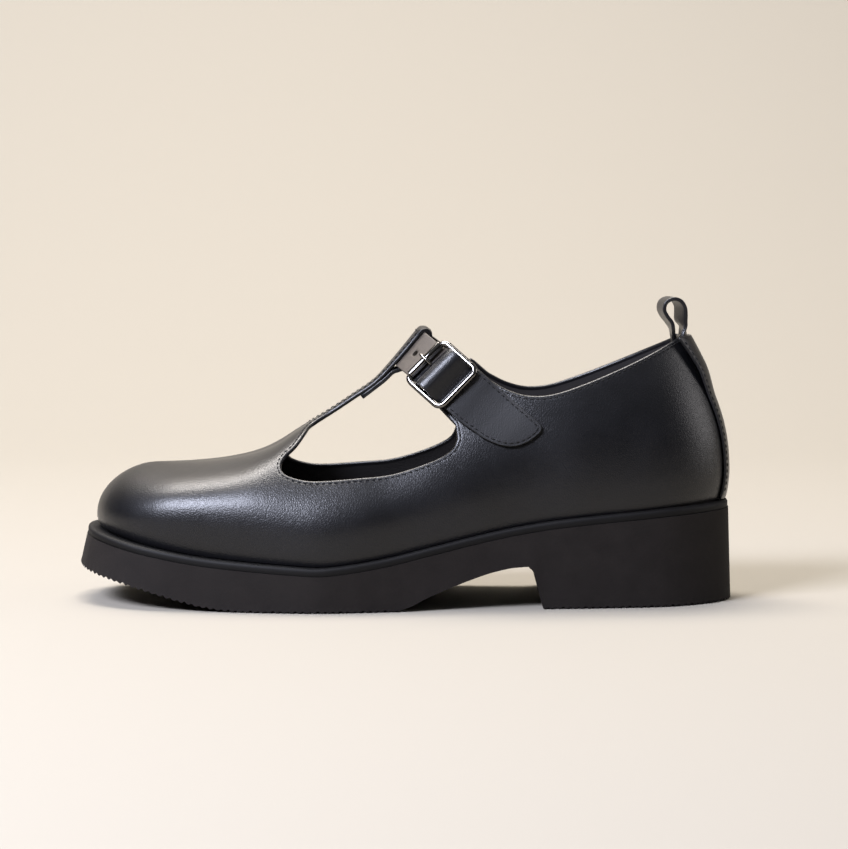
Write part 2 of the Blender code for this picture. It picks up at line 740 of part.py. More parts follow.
def strap_keys(guide, buckle):
    """Key lines across the strap, from its sewn end on the inner quarter to its tip under the buckle."""
    half = STRAP_WIDTH / 2
    columns = 5
    keys = []
    seat = GAP + STRAP_THICKNESS / 2
    under_loop = -(LOOP_LAYER + LOOP_EASE + STRAP_THICKNESS / 2)
    lifts = [(STRAP_INNER_END, seat), (STRAP_INNER_END - 5, seat), (EAR_END, seat)]
    for down, lift in lifts:
        along = [STRAP_WIDTH * (j / (columns - 1) - 0.5) for j in range(columns)]
        keys.append([guide.beside(down, a, 1, lift)[0] for a in along])
    for angle, lift in ((40, seat - 1.0), (26, seat - 2.6), (12, under_loop), (6, under_loop),
                        (0, under_loop), (-6, under_loop), (-12, under_loop)):
        along = [STRAP_WIDTH * (j / (columns - 1) - 0.5) for j in range(columns)]
        keys.append([guide.around(math.radians(angle), a, lift)[0] for a in along])
    rear = buckle.rear
    below = FRAME_THICKNESS / 2 + GAP + STRAP_THICKNESS / 2
    front = -(ROLLER_RADIUS + GAP + STRAP_THICKNESS / 2)
    inside = rear - FRAME_WIRE / 2
    path = [(-rear, front), (-rear * 0.58, front * 0.55)]
    over = CENTRE_BAR_RADIUS + TAB_THICKNESS + 2.5 * GAP + STRAP_THICKNESS / 2
    for degrees in (-50, -24, 0, 24, 48):
        a = math.radians(degrees)
        path.append((over * math.sin(a), over * math.cos(a)))
    path += [(inside * 0.72, -below * 0.35), (inside * 0.96, -below - 0.2), (rear, -below - 0.1),
             (rear + STRAP_TIP, -below - 0.1)]
    for length, up in path:
        keys.append(across(buckle.at(length, -half, up), buckle.at(length, half, up), columns))
    return keys


def rod(name, start, end, radius, cutters, sides=12):
    """A plain round rod between two points, as a mesh."""
    bm = bmesh.new()
    way = end - start
    bmesh.ops.create_cone(bm, cap_ends=True, segments=sides, radius1=radius, radius2=radius,
                          depth=way.length)
    turn = way.to_track_quat("Z", "Y").to_matrix()
    middle = (start + end) / 2
    for corner in bm.verts:
        corner.co = Vector(place(middle + turn @ corner.co))
    mesh = bpy.data.meshes.new(name)
    bm.to_mesh(mesh)
    bm.free()
    item = bpy.data.objects.new(name, mesh)
    cutters.objects.link(item)
    return item


def make_strap(guide, buckle, finish, collection, cutters):
    strap = sheet("ankle_strap", skin(strap_keys(guide, buckle), 3), STRAP_THICKNESS, finish, collection)
    line = prong_line(buckle)
    hole = rod("prong_hole", line[1] * 2 - line[2], line[2] * 2 - line[1], STRAP_HOLE_RADIUS, cutters)
    cut(strap, as_cutter(hole))
    spare = guide.around(-SPARE_HOLE_PLACE / STRAP_AXIS_DROP, 0, -LOOP_LAYER)
    spare_hole = rod("spare_hole", spare[0] - spare[1] * 5, spare[0] + spare[1] * 5, STRAP_HOLE_RADIUS, cutters)
    cut(strap, as_cutter(spare_hole))
    return strap


def prong_line(buckle):
    """The prong's middle line, from the bar, up through the strap's hole and over the roller."""
    bar = CENTRE_BAR_RADIUS + GAP + PRONG_RADIUS
    over = ROLLER_RADIUS + GAP + PRONG_RADIUS
    spots = [(0.0, -bar), (-buckle.rear * 0.27, -bar * 0.8), (-buckle.rear * 0.64, over * 0.72),
             (-buckle.rear, over), (-buckle.rear - PRONG_OVERHANG, over * 0.93)]
    return [buckle.at(length, 0, up) for length, up in spots]


def make_prong(buckle, finish, collection):
    """A round wire hooked round the centre bar."""
    bar = CENTRE_BAR_RADIUS + GAP + PRONG_RADIUS
    hook = [buckle.at(-bar * math.sin(a), 0, bar * math.cos(a))
            for a in [math.radians(d) for d in (60, 20, -20, -60, -100, -140)]]
    line = hook + through(prong_line(buckle), 2)
    curve = bpy.data.curves.new("buckle_prong", "CURVE")
    curve.dimensions = "3D"
    curve.bevel_depth = PRONG_RADIUS * MM
    curve.bevel_resolution = 2
    curve.use_fill_caps = True
    spline = curve.splines.new("POLY")
    spline.points.add(len(line) - 1)
    for spot, point in zip(spline.points, line):
        spot.co = (*place(point), 1.0)
    wire = bpy.data.objects.new("prong_wire", curve)
    collection.objects.link(wire)
    bpy.context.view_layer.update()
    mesh_from(wire, "buckle_prong", finish, collection)


def rounded_corner(x, y, radius, quarter, steps=4):
    """Points round one corner, whose middle is at x and y, in one quarter of a turn."""
    angles = [math.pi / 2 * (quarter + k / steps) for k in range(steps + 1)]
    return [(x + radius * math.cos(a), y + radius * math.sin(a)) for a in angles]


def frame_outlines(buckle):
    """Outer edge, with the step where the roller turns, and the window, in length and width."""
    front, rear = -FRAME_LENGTH / 2, FRAME_LENGTH / 2
    half, inner = FRAME_WIDTH / 2, FRAME_WIDTH / 2 - FRAME_WIRE
    round_ = FRAME_CORNER
    step = ROLLER_LENGTH / 2 + GAP
    bar = -buckle.rear - ROLLER_BAR / 2
    outer = rounded_corner(rear - round_, half - round_, round_, 0)
    outer += rounded_corner(front + round_, half - round_, round_, 1)[:-1]
    outer += [(front + 0.2, step + 0.5), (bar, step), (bar, -step), (front + 0.2, -step - 0.5)]
    outer += rounded_corner(front + round_, round_ - half, round_, 2)[1:]
    outer += rounded_corner(rear - round_, round_ - half, round_, 3)
    small = round_ - FRAME_WIRE * 0.7
    low, high = -buckle.rear + ROLLER_BAR / 2, buckle.rear - FRAME_WIRE / 2
    window = rounded_corner(high - small, inner - small, small, 0, 3)
    window += rounded_corner(low + small, inner - small, small, 1, 3)
    window += rounded_corner(low + small, small - inner, small, 2, 3)
    window += rounded_corner(high - small, small - inner, small, 3, 3)
    return outer, window


def buckle_matrix(buckle, z_axis="up"):
    """Axes of the buckle as an object's matrix, with Z off the foot or along the roller."""
    x, y, z = buckle.length, buckle.up.cross(buckle.length), buckle.up
    if z_axis == "width":
        x, y, z = buckle.length, buckle.width.cross(buckle.length), buckle.width
    spot = place(buckle.centre)
    rows = [(x[i], y[i], z[i], spot[i]) for i in range(3)]
    return Matrix((*rows, (0, 0, 0, 1)))


def mesh_from(item, name, finish, collection):
    """A mesh object from a curve, with its caps welded, in place of the curve."""
    graph = bpy.context.evaluated_depsgraph_get()
    mesh = bpy.data.meshes.new_from_object(item.evaluated_get(graph))
    bm = bmesh.new()
    bm.from_mesh(mesh)
    bmesh.ops.remove_doubles(bm, verts=bm.verts, dist=0.002 * MM)
    bm.to_mesh(mesh)
    bm.free()
    made = bpy.data.objects.new(name, mesh)
    made.matrix_world = item.matrix_world.copy()
    mesh.materials.clear()
    mesh.materials.append(finish)
    collection.objects.link(made)
    bpy.data.objects.remove(item, do_unlink=True)
    return made


def make_frame(buckle, finish, collection, cutters):
    """A flat rounded frame with its edges rounded, joined with the thin bar across its middle."""
    curve = bpy.data.curves.new("frame_outline", "CURVE")
    curve.dimensions = "2D"
    curve.fill_mode = "BOTH"
    curve.extrude = (FRAME_THICKNESS / 2 - FRAME_EDGE_ROUND) * MM
    curve.bevel_depth = FRAME_EDGE_ROUND * MM
    curve.bevel_resolution = 1
    curve.offset = -FRAME_EDGE_ROUND * MM
    for outline in frame_outlines(buckle):
        spline = curve.splines.new("POLY")
        spline.points.add(len(outline) - 1)
        spline.use_cyclic_u = True
        for spot, (x, y) in zip(spline.points, outline):
            spot.co = (x * MM, y * MM, 0, 1)
    flat = bpy.data.objects.new("frame_outline", curve)
    collection.objects.link(flat)
    flat.matrix_world = buckle_matrix(buckle)
    bpy.context.view_layer.update()
    frame = mesh_from(flat, "buckle_frame", finish, collection)
    reach = FRAME_WIDTH / 2 - FRAME_WIRE / 2
    bar = rod("centre_bar", buckle.at(0, -reach, 0), buckle.at(0, reach, 0), CENTRE_BAR_RADIUS, cutters)
    cut(frame, as_cutter(bar), "UNION")


def make_roller(buckle, finish, collection):
    """A short tube that turns on the frame's front bar."""
    mesh = bpy.data.meshes.new("buckle_roller")
    half = ROLLER_LENGTH / 2 * MM
    bm = bmesh.new()
    profile = [(ROLLER_RADIUS, half), (ROLLER_RADIUS, -half), (ROLLER_BORE, -half), (ROLLER_BORE, half)]
    corners = [bm.verts.new((radius * MM, 0, z)) for radius, z in profile]
    for k in range(4):
        bm.edges.new((corners[k], corners[(k + 1) % 4]))
    bm.to_mesh(mesh)
    bm.free()
    mesh.materials.append(finish)
    roller = bpy.data.objects.new("buckle_roller", mesh)
    collection.objects.link(roller)
    roller.matrix_world = buckle_matrix(buckle, "width")
    roller.location = place(buckle.at(-buckle.rear, 0, 0))
    turned = roller.modifiers.new("turned", "SCREW")
    turned.steps = turned.render_steps = 20
    turned.use_merge_vertices = True
    turned.merge_threshold = 0.00001


def make_tab(guide, buckle, finish, collection, cutters):
    """The overlay that holds the buckle: hooked round the centre bar, then flat on the outer quarter."""
    columns = 7
    neck = TAB_NECK_WIDTH / 2
    bar = CENTRE_BAR_RADIUS + GAP + TAB_THICKNESS / 2
    keys = []
    for degrees in (-50, 0, 50, 100, 150, 190):
        a = math.radians(degrees)
        length, up = -bar * math.sin(a), bar * math.cos(a)
        keys.append(across(buckle.at(length, -neck, up), buckle.at(length, neck, up), columns))
    keys.append(across(buckle.at(bar * 1.3, -neck, -bar * 1.35), buckle.at(bar * 1.3, neck, -bar * 1.35), columns))
    for row in TAB_EDGES:
        down = row["at"] * TAB_REACH
        low, high = row["low"] * FRAME_WIDTH, row["high"] * FRAME_WIDTH
        lift = GAP + TAB_THICKNESS / 2
        line = [guide.beside(down, low + (high - low) * j / (columns - 1), -1, lift)[0] for j in range(columns)]
        keys.append(line)
    tab = sheet("buckle_tab", skin(keys, 2), TAB_THICKNESS, finish, collection)
    half = PRONG_RADIUS + 2 * GAP
    slot = buckle_box("tab_slot", buckle, (-TAB_SLOT_LENGTH / 2, TAB_SLOT_LENGTH / 2), (-half, half),
                      (-TAB_SLOT_LENGTH / 2, TAB_SLOT_LENGTH / 2), cutters)
    cut(tab, as_cutter(slot))


def buckle_box(name, buckle, length, width, up, cutters):
    """A box in the buckle's axes, from low to high along each."""
    points = [buckle.at(a, b, c) for c in up for b in width for a in length]
    faces = [(0, 1, 3, 2), (4, 6, 7, 5), (0, 4, 5, 1), (2, 3, 7, 6), (0, 2, 6, 4), (1, 5, 7, 3)]
    return solid(name, points, faces, None, cutters)


def collar_back(guide):
    """Height at which the collar's edge meets the back of the heel."""
    edge = edge_line(COLLAR_EDGE)
    height = edge[-1][1]
    while height > HEEL_HEIGHT:
        x = guide.behind(0, height, 0)[0].x
        after = next(k for k in range(1, len(edge)) if edge[k][0] >= x or k == len(edge) - 1)
        (x0, z0), (x1, z1) = edge[after - 1], edge[after]
        if height <= z0 + (z1 - z0) * (x - x0) / (x1 - x0):
            break
        height -= 0.1
    return height


def make_back_strip(guide, finish, collection):
    """The overlay down the back seam, from the collar over the pull loop's outer leg to the sole."""
    top = collar_back(guide) - 2.0
    bottom = sole_top(UPPER_HEEL) + 2 * GAP
    rows, columns = 14, 7
    over_leg = top - PULL_LEG - 4
    grid = []
    for i in range(rows + 1):
        height = bottom + (top - bottom) * i / rows
        raised = min(1.0, max(0.0, 1 - (over_leg - height) / 14))
        lift = GAP + BACK_STRIP_THICKNESS / 2 + raised * (PULL_THICKNESS + GAP)
        grid.append([guide.behind(BACK_STRIP_WIDTH * (j / (columns - 1) - 0.5), height, lift)
                     for j in range(columns)])
    sheet("back_strip", grid, BACK_STRIP_THICKNESS, finish, collection)


def make_pull_loop(guide, finish, collection):
    """A folded strip over the collar's back edge: one leg inside, one outside, and the loop above."""
    top = collar_back(guide)
    edge = guide.behind(0, top, 0)[0]
    outside = GAP + PULL_THICKNESS / 2
    inside = -(WALL + GAP + PULL_THICKNESS / 2)
    columns = 5
    keys = []

    def leg(height, lift):
        line = []
        for j in range(columns):
            y = PULL_WIDTH * (j / (columns - 1) - 0.5)
            line.append(guide.behind(y, height, lift)[0])
        keys.append(line)

    leg(top - PULL_LEG - 2, inside - 0.3)
    leg(top - PULL_LEG / 2, inside - 0.3)
    leg(top - 1, inside - 0.3)
    for forward, up, turn in PULL_SHAPE:
        x, z = edge.x + forward * PULL_HEIGHT, top + up * PULL_HEIGHT
        keys.append([Vector((x - turn * PULL_WIDTH * j / (columns - 1), PULL_WIDTH * (j / (columns - 1) - 0.5), z))
                     for j in range(columns)])
    leg(top - 1, outside)
    leg(top - PULL_LEG / 2, outside)
    leg(top - PULL_LEG, outside)
    sheet("pull_loop", skin(keys, 2), PULL_THICKNESS, finish, collection)


def main():
    clear_scene()
    shoe = new_collection("t_strap_shoe")
    cutters = new_collection("cutters")
    calf = material("black_calf", (0.012, 0.012, 0.013), 0.42)
    foam = material("black_foam_rubber", (0.02, 0.019, 0.018), 0.75)
    band = material("black_rand", (0.015, 0.014, 0.014), 0.6)
    sock = material("insole_leather", (0.03, 0.027, 0.025), 0.7)
    nickel = material("polished_nickel", (0.66, 0.65, 0.62), 0.15, 1.0)
    guide = Guide()
    buckle = Buckle(guide)
    make_outsole(foam, shoe)
    make_welt(band, shoe)
    make_insole(sock, shoe)
    upper = make_upper(calf, shoe, cutters)
    upper.modifiers.new("triangles", "TRIANGULATE")
    cut(upper, make_t_loop(guide, calf, cutters), "UNION")
    make_strap(guide, buckle, calf, shoe, cutters)
    make_tab(guide, buckle, calf, shoe, cutters)
    make_frame(buckle, nickel, shoe, cutters)
    make_roller(buckle, nickel, shoe)
    make_prong(buckle, nickel, shoe)
    make_back_strip(guide, calf, shoe)
    make_pull_loop(guide, calf, shoe)


main()
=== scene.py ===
# %% [markdown]
# # A left T-strap shoe in black calf
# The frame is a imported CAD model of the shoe: eleven plain solids with the right sizes. This lesson dresses
# it. Each leather piece is rebuilt from the same named sizes with a finer mesh, then gets what a solid has no
# room for: folded edges, stitches, lining, tread ripples, grain and light.

# %% Frame
import math

import bmesh
import bpy
import numpy as np
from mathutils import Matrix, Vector
from mathutils.bvhtree import BVHTree
from mathutils.kdtree import KDTree


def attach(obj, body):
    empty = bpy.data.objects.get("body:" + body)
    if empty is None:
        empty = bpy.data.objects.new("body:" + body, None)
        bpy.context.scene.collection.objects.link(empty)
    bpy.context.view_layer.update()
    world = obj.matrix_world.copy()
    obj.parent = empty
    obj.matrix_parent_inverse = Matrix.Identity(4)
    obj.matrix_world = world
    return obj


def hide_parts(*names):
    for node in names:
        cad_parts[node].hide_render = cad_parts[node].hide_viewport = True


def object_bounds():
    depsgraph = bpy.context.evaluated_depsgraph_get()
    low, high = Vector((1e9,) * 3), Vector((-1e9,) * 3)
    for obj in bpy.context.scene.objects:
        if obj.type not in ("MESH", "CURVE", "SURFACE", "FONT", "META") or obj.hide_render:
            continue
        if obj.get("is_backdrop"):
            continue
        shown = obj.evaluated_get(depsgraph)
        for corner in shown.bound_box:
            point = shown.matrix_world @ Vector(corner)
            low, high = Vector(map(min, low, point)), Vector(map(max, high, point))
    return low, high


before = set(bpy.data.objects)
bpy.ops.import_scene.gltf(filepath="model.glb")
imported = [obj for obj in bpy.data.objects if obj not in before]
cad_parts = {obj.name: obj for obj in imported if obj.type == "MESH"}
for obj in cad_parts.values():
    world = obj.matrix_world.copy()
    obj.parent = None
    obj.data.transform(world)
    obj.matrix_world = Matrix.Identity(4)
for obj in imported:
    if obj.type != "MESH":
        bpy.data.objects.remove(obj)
cad_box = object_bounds()
print("nodes", sorted(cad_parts))

# %% [markdown]
# ## Units
# Shoemakers think in millimetres, so every size below is one. Only `metres` turns a point into Blender's
# metres. The shoe's own middle line lies 1.5 mm to the inner side of the frame's middle, because a foot's
# outline is lopsided, so `metres` adds that too.

# %% Units
MM = 0.001
MIDDLE_LINE = 1.547


def metres(point):
    return Vector((point[0], point[1] + MIDDLE_LINE, point[2])) * MM


# %% [markdown]
# ## The shape of the last
# A shoe takes its shape from a last. Here a last is a handful of tables: the outline in plan, the shape of
# the cross sections, the ridge along the top, and the top and bottom lines of the sole. All are shares of a
# few main sizes, and a smooth curve runs through each column.

# %% Main sizes
UPPER_LENGTH, BALL_WIDTH, INSTEP_RISE = 259.0, 90.0, 80.0
HEEL_HEIGHT, FOREFOOT_HEIGHT = 41.0, 17.8
TOE_SPRING, TOE_TOP_LIFT, ARCH_HEIGHT = 14.8, 13.2, 17.0
WALL, GAP, FEATHER_TUCK = 2.0, 0.3, 2.2
TOE_LEDGE, TOE_SLANT, HEEL_LEDGE, HEEL_SLANT, SIDE_SLANT = 3.9, 2.8, 1.1, 1.2, 0.8
RAND_THICKNESS, SOCK_THICKNESS = 3.4, 3.0
TOE_CAP_DEPTH, TOE_CAP_LEAN, COUNTER_DEPTH, COUNTER_LEAN = 26.0, 0.0, 45.0, 0.2
SOLE_LENGTH = TOE_SLANT + TOE_LEDGE + UPPER_LENGTH + HEEL_LEDGE + HEEL_SLANT
UPPER_TOE = -SOLE_LENGTH / 2 + TOE_SLANT + TOE_LEDGE
UPPER_HEEL = UPPER_TOE + UPPER_LENGTH
print("sole", SOLE_LENGTH, "mm long; upper from", UPPER_TOE, "to", UPPER_HEEL)

# %% Tables of the last
# (share of the length, middle, half width), widths as shares of the ball width
PLAN = [(0.0, 0.050, 0.0), (0.024, 0.046, 0.232), (0.096, 0.030, 0.398), (0.206, 0.010, 0.466),
        (0.3, -0.010, 0.494), (0.38, -0.032, 0.490), (0.5, -0.048, 0.424), (0.655, -0.026, 0.380),
        (0.794, 0.0, 0.372), (0.904, 0.0, 0.318), (0.976, 0.0, 0.176), (1.0, 0.0, 0.0)]
# (share, height of the widest line, lean of the wall, breadth of the top, the sole's ledge)
SECTIONS = [(0.0, 0.055, 0.05, 0.0, 1.0), (0.12, 0.13, -0.05, 0.0, 0.85), (0.25, 0.16, -0.03, 0.0, 0.7),
            (0.35, 0.165, 0.1, 0.1, 0.62), (0.5, 0.185, 0.2, 0.45, 0.5), (0.62, 0.2, 0.22, 0.5, 0.4),
            (0.75, 0.205, 0.16, 0.3, 0.35), (0.88, 0.19, 0.16, 0.0, 0.2), (1.0, 0.17, 0.2, 0.0, 0.03)]
# (share of the upper's length, rise above the sole, sideways place)
RIDGE = [(0.1, 0.392, 0.037), (0.132, 0.411, 0.032), (0.183, 0.443, 0.022),
         (0.217, 0.467, 0.014), (0.252, 0.501, 0.006), (0.279, 0.54, 0.0), (0.303, 0.59, 0.0),
         (0.338, 0.677, 0.0), (0.407, 0.81, 0.0), (0.441, 0.872, 0.0), (0.455, 0.912, 0.0),
         (0.489, 1.019, 0.0), (0.519, 1.115, 0.0), (0.563, 1.24, 0.0), (0.62, 1.33, 0.0), (0.82, 1.29, 0.0)]
# (share, rise towards the heel, lift of the toe)
SOLE_TOP = [(0.0, 0.0, 1.0), (0.068, 0.0, 0.69), (0.123, 0.0, 0.48), (0.192, 0.0, 0.26), (0.261, 0.0, 0.13),
            (0.329, 0.0, 0.035), (0.38, 0.0, 0.0), (0.465, 0.13, 0.0), (0.541, 0.33, 0.0), (0.6, 0.49, 0.0),
            (0.667, 0.65, 0.0), (0.74, 0.775, 0.0), (0.888, 0.927, 0.0), (1.0, 1.0, 0.0)]
# (share, lift of the toe, lift of the arch), then the heel's front face
TREAD_LINE = [(0.0, 1.0, 0.0), (0.03, 0.84, 0.0), (0.094, 0.57, 0.0), (0.158, 0.26, 0.0), (0.2, 0.09, 0.0),
              (0.24, 0.01, 0.0), (0.27, 0.0, 0.0), (0.48, 0.0, 0.0), (0.505, 0.0, 0.09), (0.535, 0.0, 0.32),
              (0.575, 0.0, 0.58), (0.624, 0.0, 0.85), (0.657, 0.0, 0.97), (0.678, 0.0, 1.0)]
BREAST = [(0.685, 0.98), (0.691, 0.9), (0.695, 0.72), (0.699, 0.48), (0.703, 0.2), (0.707, 0.0)]
# Edges in the side view: (share of the sole's length, rise above the sole)
COLLAR_EDGE = [(0.628, 0.756), (0.655, 0.69), (0.685, 0.645), (0.72, 0.633), (0.765, 0.662), (0.823, 0.722),
               (0.88, 0.793), (0.93, 0.866), (0.98, 0.945)]
CUT_OUT_EDGE = [(0.36, 0.72), (0.334, 0.588), (0.317, 0.53), (0.311, 0.49), (0.315, 0.452), (0.332, 0.427),
                (0.365, 0.417), (0.428, 0.412), (0.48, 0.4), (0.53, 0.41), (0.56, 0.43), (0.575, 0.458),
                (0.581, 0.5)]


# %% Curves through the tables
def cubic(rows, column, at):
    """A smooth value between the rows of a table, whose first column runs along it."""
    if at <= rows[0][0]:
        return rows[0][column]
    if at >= rows[-1][0]:
        return rows[-1][column]
    last = len(rows) - 1
    i = next(k for k in range(last) if rows[k + 1][0] >= at)

    def slope(k):
        low, high = max(k - 1, 0), min(k + 1, last)
        return (rows[high][column] - rows[low][column]) / (rows[high][0] - rows[low][0])

    span = rows[i + 1][0] - rows[i][0]
    u = (at - rows[i][0]) / span
    rise = rows[i + 1][column] - rows[i][column]
    a, b = slope(i) * span - rise, rise - slope(i + 1) * span
    return rows[i][column] + rise * u + u * (1 - u) * ((1 - u) * a + u * b)


def share_of(turn):
    return (1 - math.cos(math.pi * turn)) / 2


def turn_of(share):
    return math.acos(max(-1.0, min(1.0, 1 - 2 * share))) / math.pi


PLAN_BY_TURN = [(turn_of(share), middle, half) for share, middle, half in PLAN]


def plan(turn):
    return cubic(PLAN_BY_TURN, 1, turn) * BALL_WIDTH, cubic(PLAN_BY_TURN, 2, turn) * BALL_WIDTH


def sole_top(x):
    share = x / SOLE_LENGTH + 0.5
    heel = cubic(SOLE_TOP, 1, share) * (HEEL_HEIGHT - FOREFOOT_HEIGHT)
    return FOREFOOT_HEIGHT + heel + cubic(SOLE_TOP, 2, share) * TOE_TOP_LIFT


def tread_line(share):
    if share > BREAST[0][0]:
        return cubic(BREAST, 1, share) * ARCH_HEIGHT
    return max(0.0, cubic(TREAD_LINE, 1, share) * TOE_SPRING + cubic(TREAD_LINE, 2, share) * ARCH_HEIGHT)


def through(points, steps):
    """A smooth line through points, with some steps between each two."""
    spots = [Vector(p) for p in points]
    chain = [spots[0] * 2 - spots[1], *spots, spots[-1] * 2 - spots[-2]]
    line = []
    for i in range(1, len(chain) - 2):
        a, b, c, d = chain[i - 1:i + 3]
        for k in range(steps):
            u = k / steps
            line.append(0.5 * (2 * b + (c - a) * u + (2 * a - 5 * b + 4 * c - d) * u ** 2
                               + (3 * b - a - 3 * c + d) * u ** 3))
    return line + [spots[-1]]


print("toe lifts", round(tread_line(0.0), 1), "mm, heel stands", sole_top(UPPER_HEEL), "mm high")


# %% [markdown]
# ## The last's surface
# A point on the last is found by how far along the outline it lies and by an angle that climbs from the
# feather line, where leather meets sole, over the widest line to the ridge. Subdivision wants a coarse, even
# cage, and it then gives a surface with no ripples, which matters on smooth calf: each ripple would show
# as a wobble in the highlight. Subdivision shrinks a cage a little, so the cage is first pushed out by what
# it lost.

# %% A point on the last
FEATHER_ANGLE = math.radians(75)


def spread(angle, lean, broad=0.0):
    return math.cos(angle) * (1 + broad * math.sin(angle) ** 6) - lean * math.sin(2 * angle) ** 2


def last_point(turn, angle, side):
    share = share_of(turn)
    middle, half = plan(turn)
    belly, lean, broad = (cubic(SECTIONS, k, share) for k in (1, 2, 3))
    if angle >= 0:
        front = UPPER_TOE + TOE_CAP_DEPTH * (1 - spread(angle, TOE_CAP_LEAN))
        back = UPPER_HEEL - COUNTER_DEPTH * (1 - spread(angle, COUNTER_LEAN))
        wide = half * spread(angle, lean, broad)
    else:
        inset = FEATHER_TUCK * (1 - math.cos(angle))
        front, back = UPPER_TOE + inset, UPPER_HEEL - inset
        wide = max(0.0, half - inset * min(1.0, half / FEATHER_TUCK / 4))
    x = front + (back - front) * share
    low = sole_top(x) + GAP + belly * INSTEP_RISE
    if angle < 0:
        climb = 1 + math.sin(angle) / math.sin(FEATHER_ANGLE)
        return Vector((x, middle + side * wide, sole_top(x) + GAP + belly * INSTEP_RISE * climb))
    ridge_x = UPPER_TOE + TOE_CAP_DEPTH + (UPPER_LENGTH - TOE_CAP_DEPTH - COUNTER_DEPTH) * share
    ridge_share = (ridge_x - UPPER_TOE) / UPPER_LENGTH
    ridge = sole_top(ridge_x) + cubic(RIDGE, 1, ridge_share) * INSTEP_RISE
    ridge_side = cubic(RIDGE, 2, ridge_share) * BALL_WIDTH
    climb = math.sin(angle)
    return Vector((x, middle + (ridge_side - middle) * climb + side * wide, low + (ridge - low) * climb))


# %% Helpers for objects and rings
def placed(name, data):
    """An object in the scene that shows a mesh, a light or a camera."""
    item = bpy.data.objects.new(name, data)
    bpy.context.scene.collection.objects.link(item)
    return item


def bridge(bm, one, two, closed=True):
    """Faces between two rows of vertices."""
    count = len(one)
    for k in range(count if closed else count - 1):
        m = (k + 1) % count
        bm.faces.new((one[k], one[m], two[m], two[k]))


def tube(bm, rings, closed=False):
    """A skin over rings of vertices, with flat ends unless it runs back to its start."""
    for one, two in zip(rings, rings[1:] + rings[:1] if closed else rings[1:]):
        bridge(bm, one, two)
    if not closed:
        bm.faces.new(rings[0][::-1])
        bm.faces.new(rings[-1])


# %% Cage and smooth surface
CAGE = (48, 12, 3)  # stations along the shoe, rows up to the ridge, rows tucked under


def last_cage(turns, rows, tuck_rows):
    angles = [-FEATHER_ANGLE * (1 - k / tuck_rows) for k in range(tuck_rows)]
    angles += [math.pi / 2 * k / rows for k in range(rows + 1)]
    strip = [(-1, a) for a in angles] + [(1, a) for a in reversed(angles[:-1])]
    bm = bmesh.new()
    rings = [[bm.verts.new(last_point(i / turns, a, side)) for side, a in strip] for i in range(turns + 1)]
    for one, two in zip(rings, rings[1:]):
        for j in range(len(strip) - 1):
            bm.faces.new((one[j], two[j], two[j + 1], one[j + 1]))
    bmesh.ops.remove_doubles(bm, verts=bm.verts, dist=0.02)
    lone = [v for v in bm.verts if len(v.link_edges) == 2 and not v.is_boundary]
    bmesh.ops.dissolve_verts(bm, verts=lone)
    bmesh.ops.recalc_face_normals(bm, faces=bm.faces)
    return bm


def subdivided(cage, levels):
    mesh = bpy.data.meshes.new("cage")
    cage.to_mesh(mesh)
    item = placed("cage", mesh)
    smooth = item.modifiers.new("smooth", "SUBSURF")
    smooth.levels = smooth.render_levels = levels
    smooth.use_limit_surface = True
    graph = bpy.context.evaluated_depsgraph_get()
    fine = bpy.data.meshes.new_from_object(item.evaluated_get(graph))
    bpy.data.objects.remove(item, do_unlink=True)
    return fine


def last_surface(turns, rows, tuck_rows, levels):
    cage = last_cage(turns, rows, tuck_rows)
    aim = [v.co.copy() for v in cage.verts]
    for _ in range(2):
        fine = subdivided(cage, 2)
        lost = 0.0
        for v, wish in zip(cage.verts, aim):
            miss = wish - fine.vertices[v.index].co
            v.co += miss
            lost = max(lost, miss.length)
    fine = subdivided(cage, levels)
    print("last surface", len(fine.polygons), "faces, last push", round(lost, 2), "mm")
    surface = bmesh.new()
    surface.from_mesh(fine)
    return surface


surface = last_surface(*CAGE, 3)
middle_point = Vector((0, 0, 60))
if sum(1 if f.normal.dot(f.calc_center_median() - middle_point) > 0 else -1 for f in surface.faces) < 0:
    bmesh.ops.reverse_faces(surface, faces=surface.faces)
guide_tree = BVHTree.FromBMesh(surface)

# %% [markdown]
# ## Where the openings are
# The clicker press cuts the leather flat, and its edges are seen best from the side. So each opening is an
# outline in the side view, and how deep a point lies inside that outline is a signed distance. The two
# side cut-outs leave the T-bar between them: a soft minimum of the two distances rounds the corner where
# the bar grows out of the vamp, as the photo shows.

# %% Slope of the ankle strap
STRAP_SLOPE, STRAP_PLACE = math.radians(50.0), 0.499
STRAP_WIDTH, STRAP_THICKNESS, STRAP_AXIS_DROP = 18.0, 2.0, 40.0
EAR_END, EAR_TOP, EAR_BOTTOM = 25.0, 12.3, -9.0
T_BAR_WIDTH, LOOP_LAYER, LOOP_WIDTH = 12.0, 1.7, 14.0
SLOPE_DOWN = Vector((math.sin(STRAP_SLOPE), 0, -math.cos(STRAP_SLOPE)))
SLOPE_ALONG = Vector((math.cos(STRAP_SLOPE), 0, math.sin(STRAP_SLOPE)))
SLOPE_X = -SOLE_LENGTH / 2 + SOLE_LENGTH * STRAP_PLACE
SLOPE_ZERO = Vector((SLOPE_X, 0, sole_top(SLOPE_X)
                     + cubic(RIDGE, 1, (SLOPE_X - UPPER_TOE) / UPPER_LENGTH) * INSTEP_RISE))


def slope_point(side, down, along):
    return SLOPE_ZERO + Vector((0, side, 0)) + SLOPE_DOWN * down + SLOPE_ALONG * along


def side_view(down, along):
    point = slope_point(0, down, along)
    return point.x, point.z


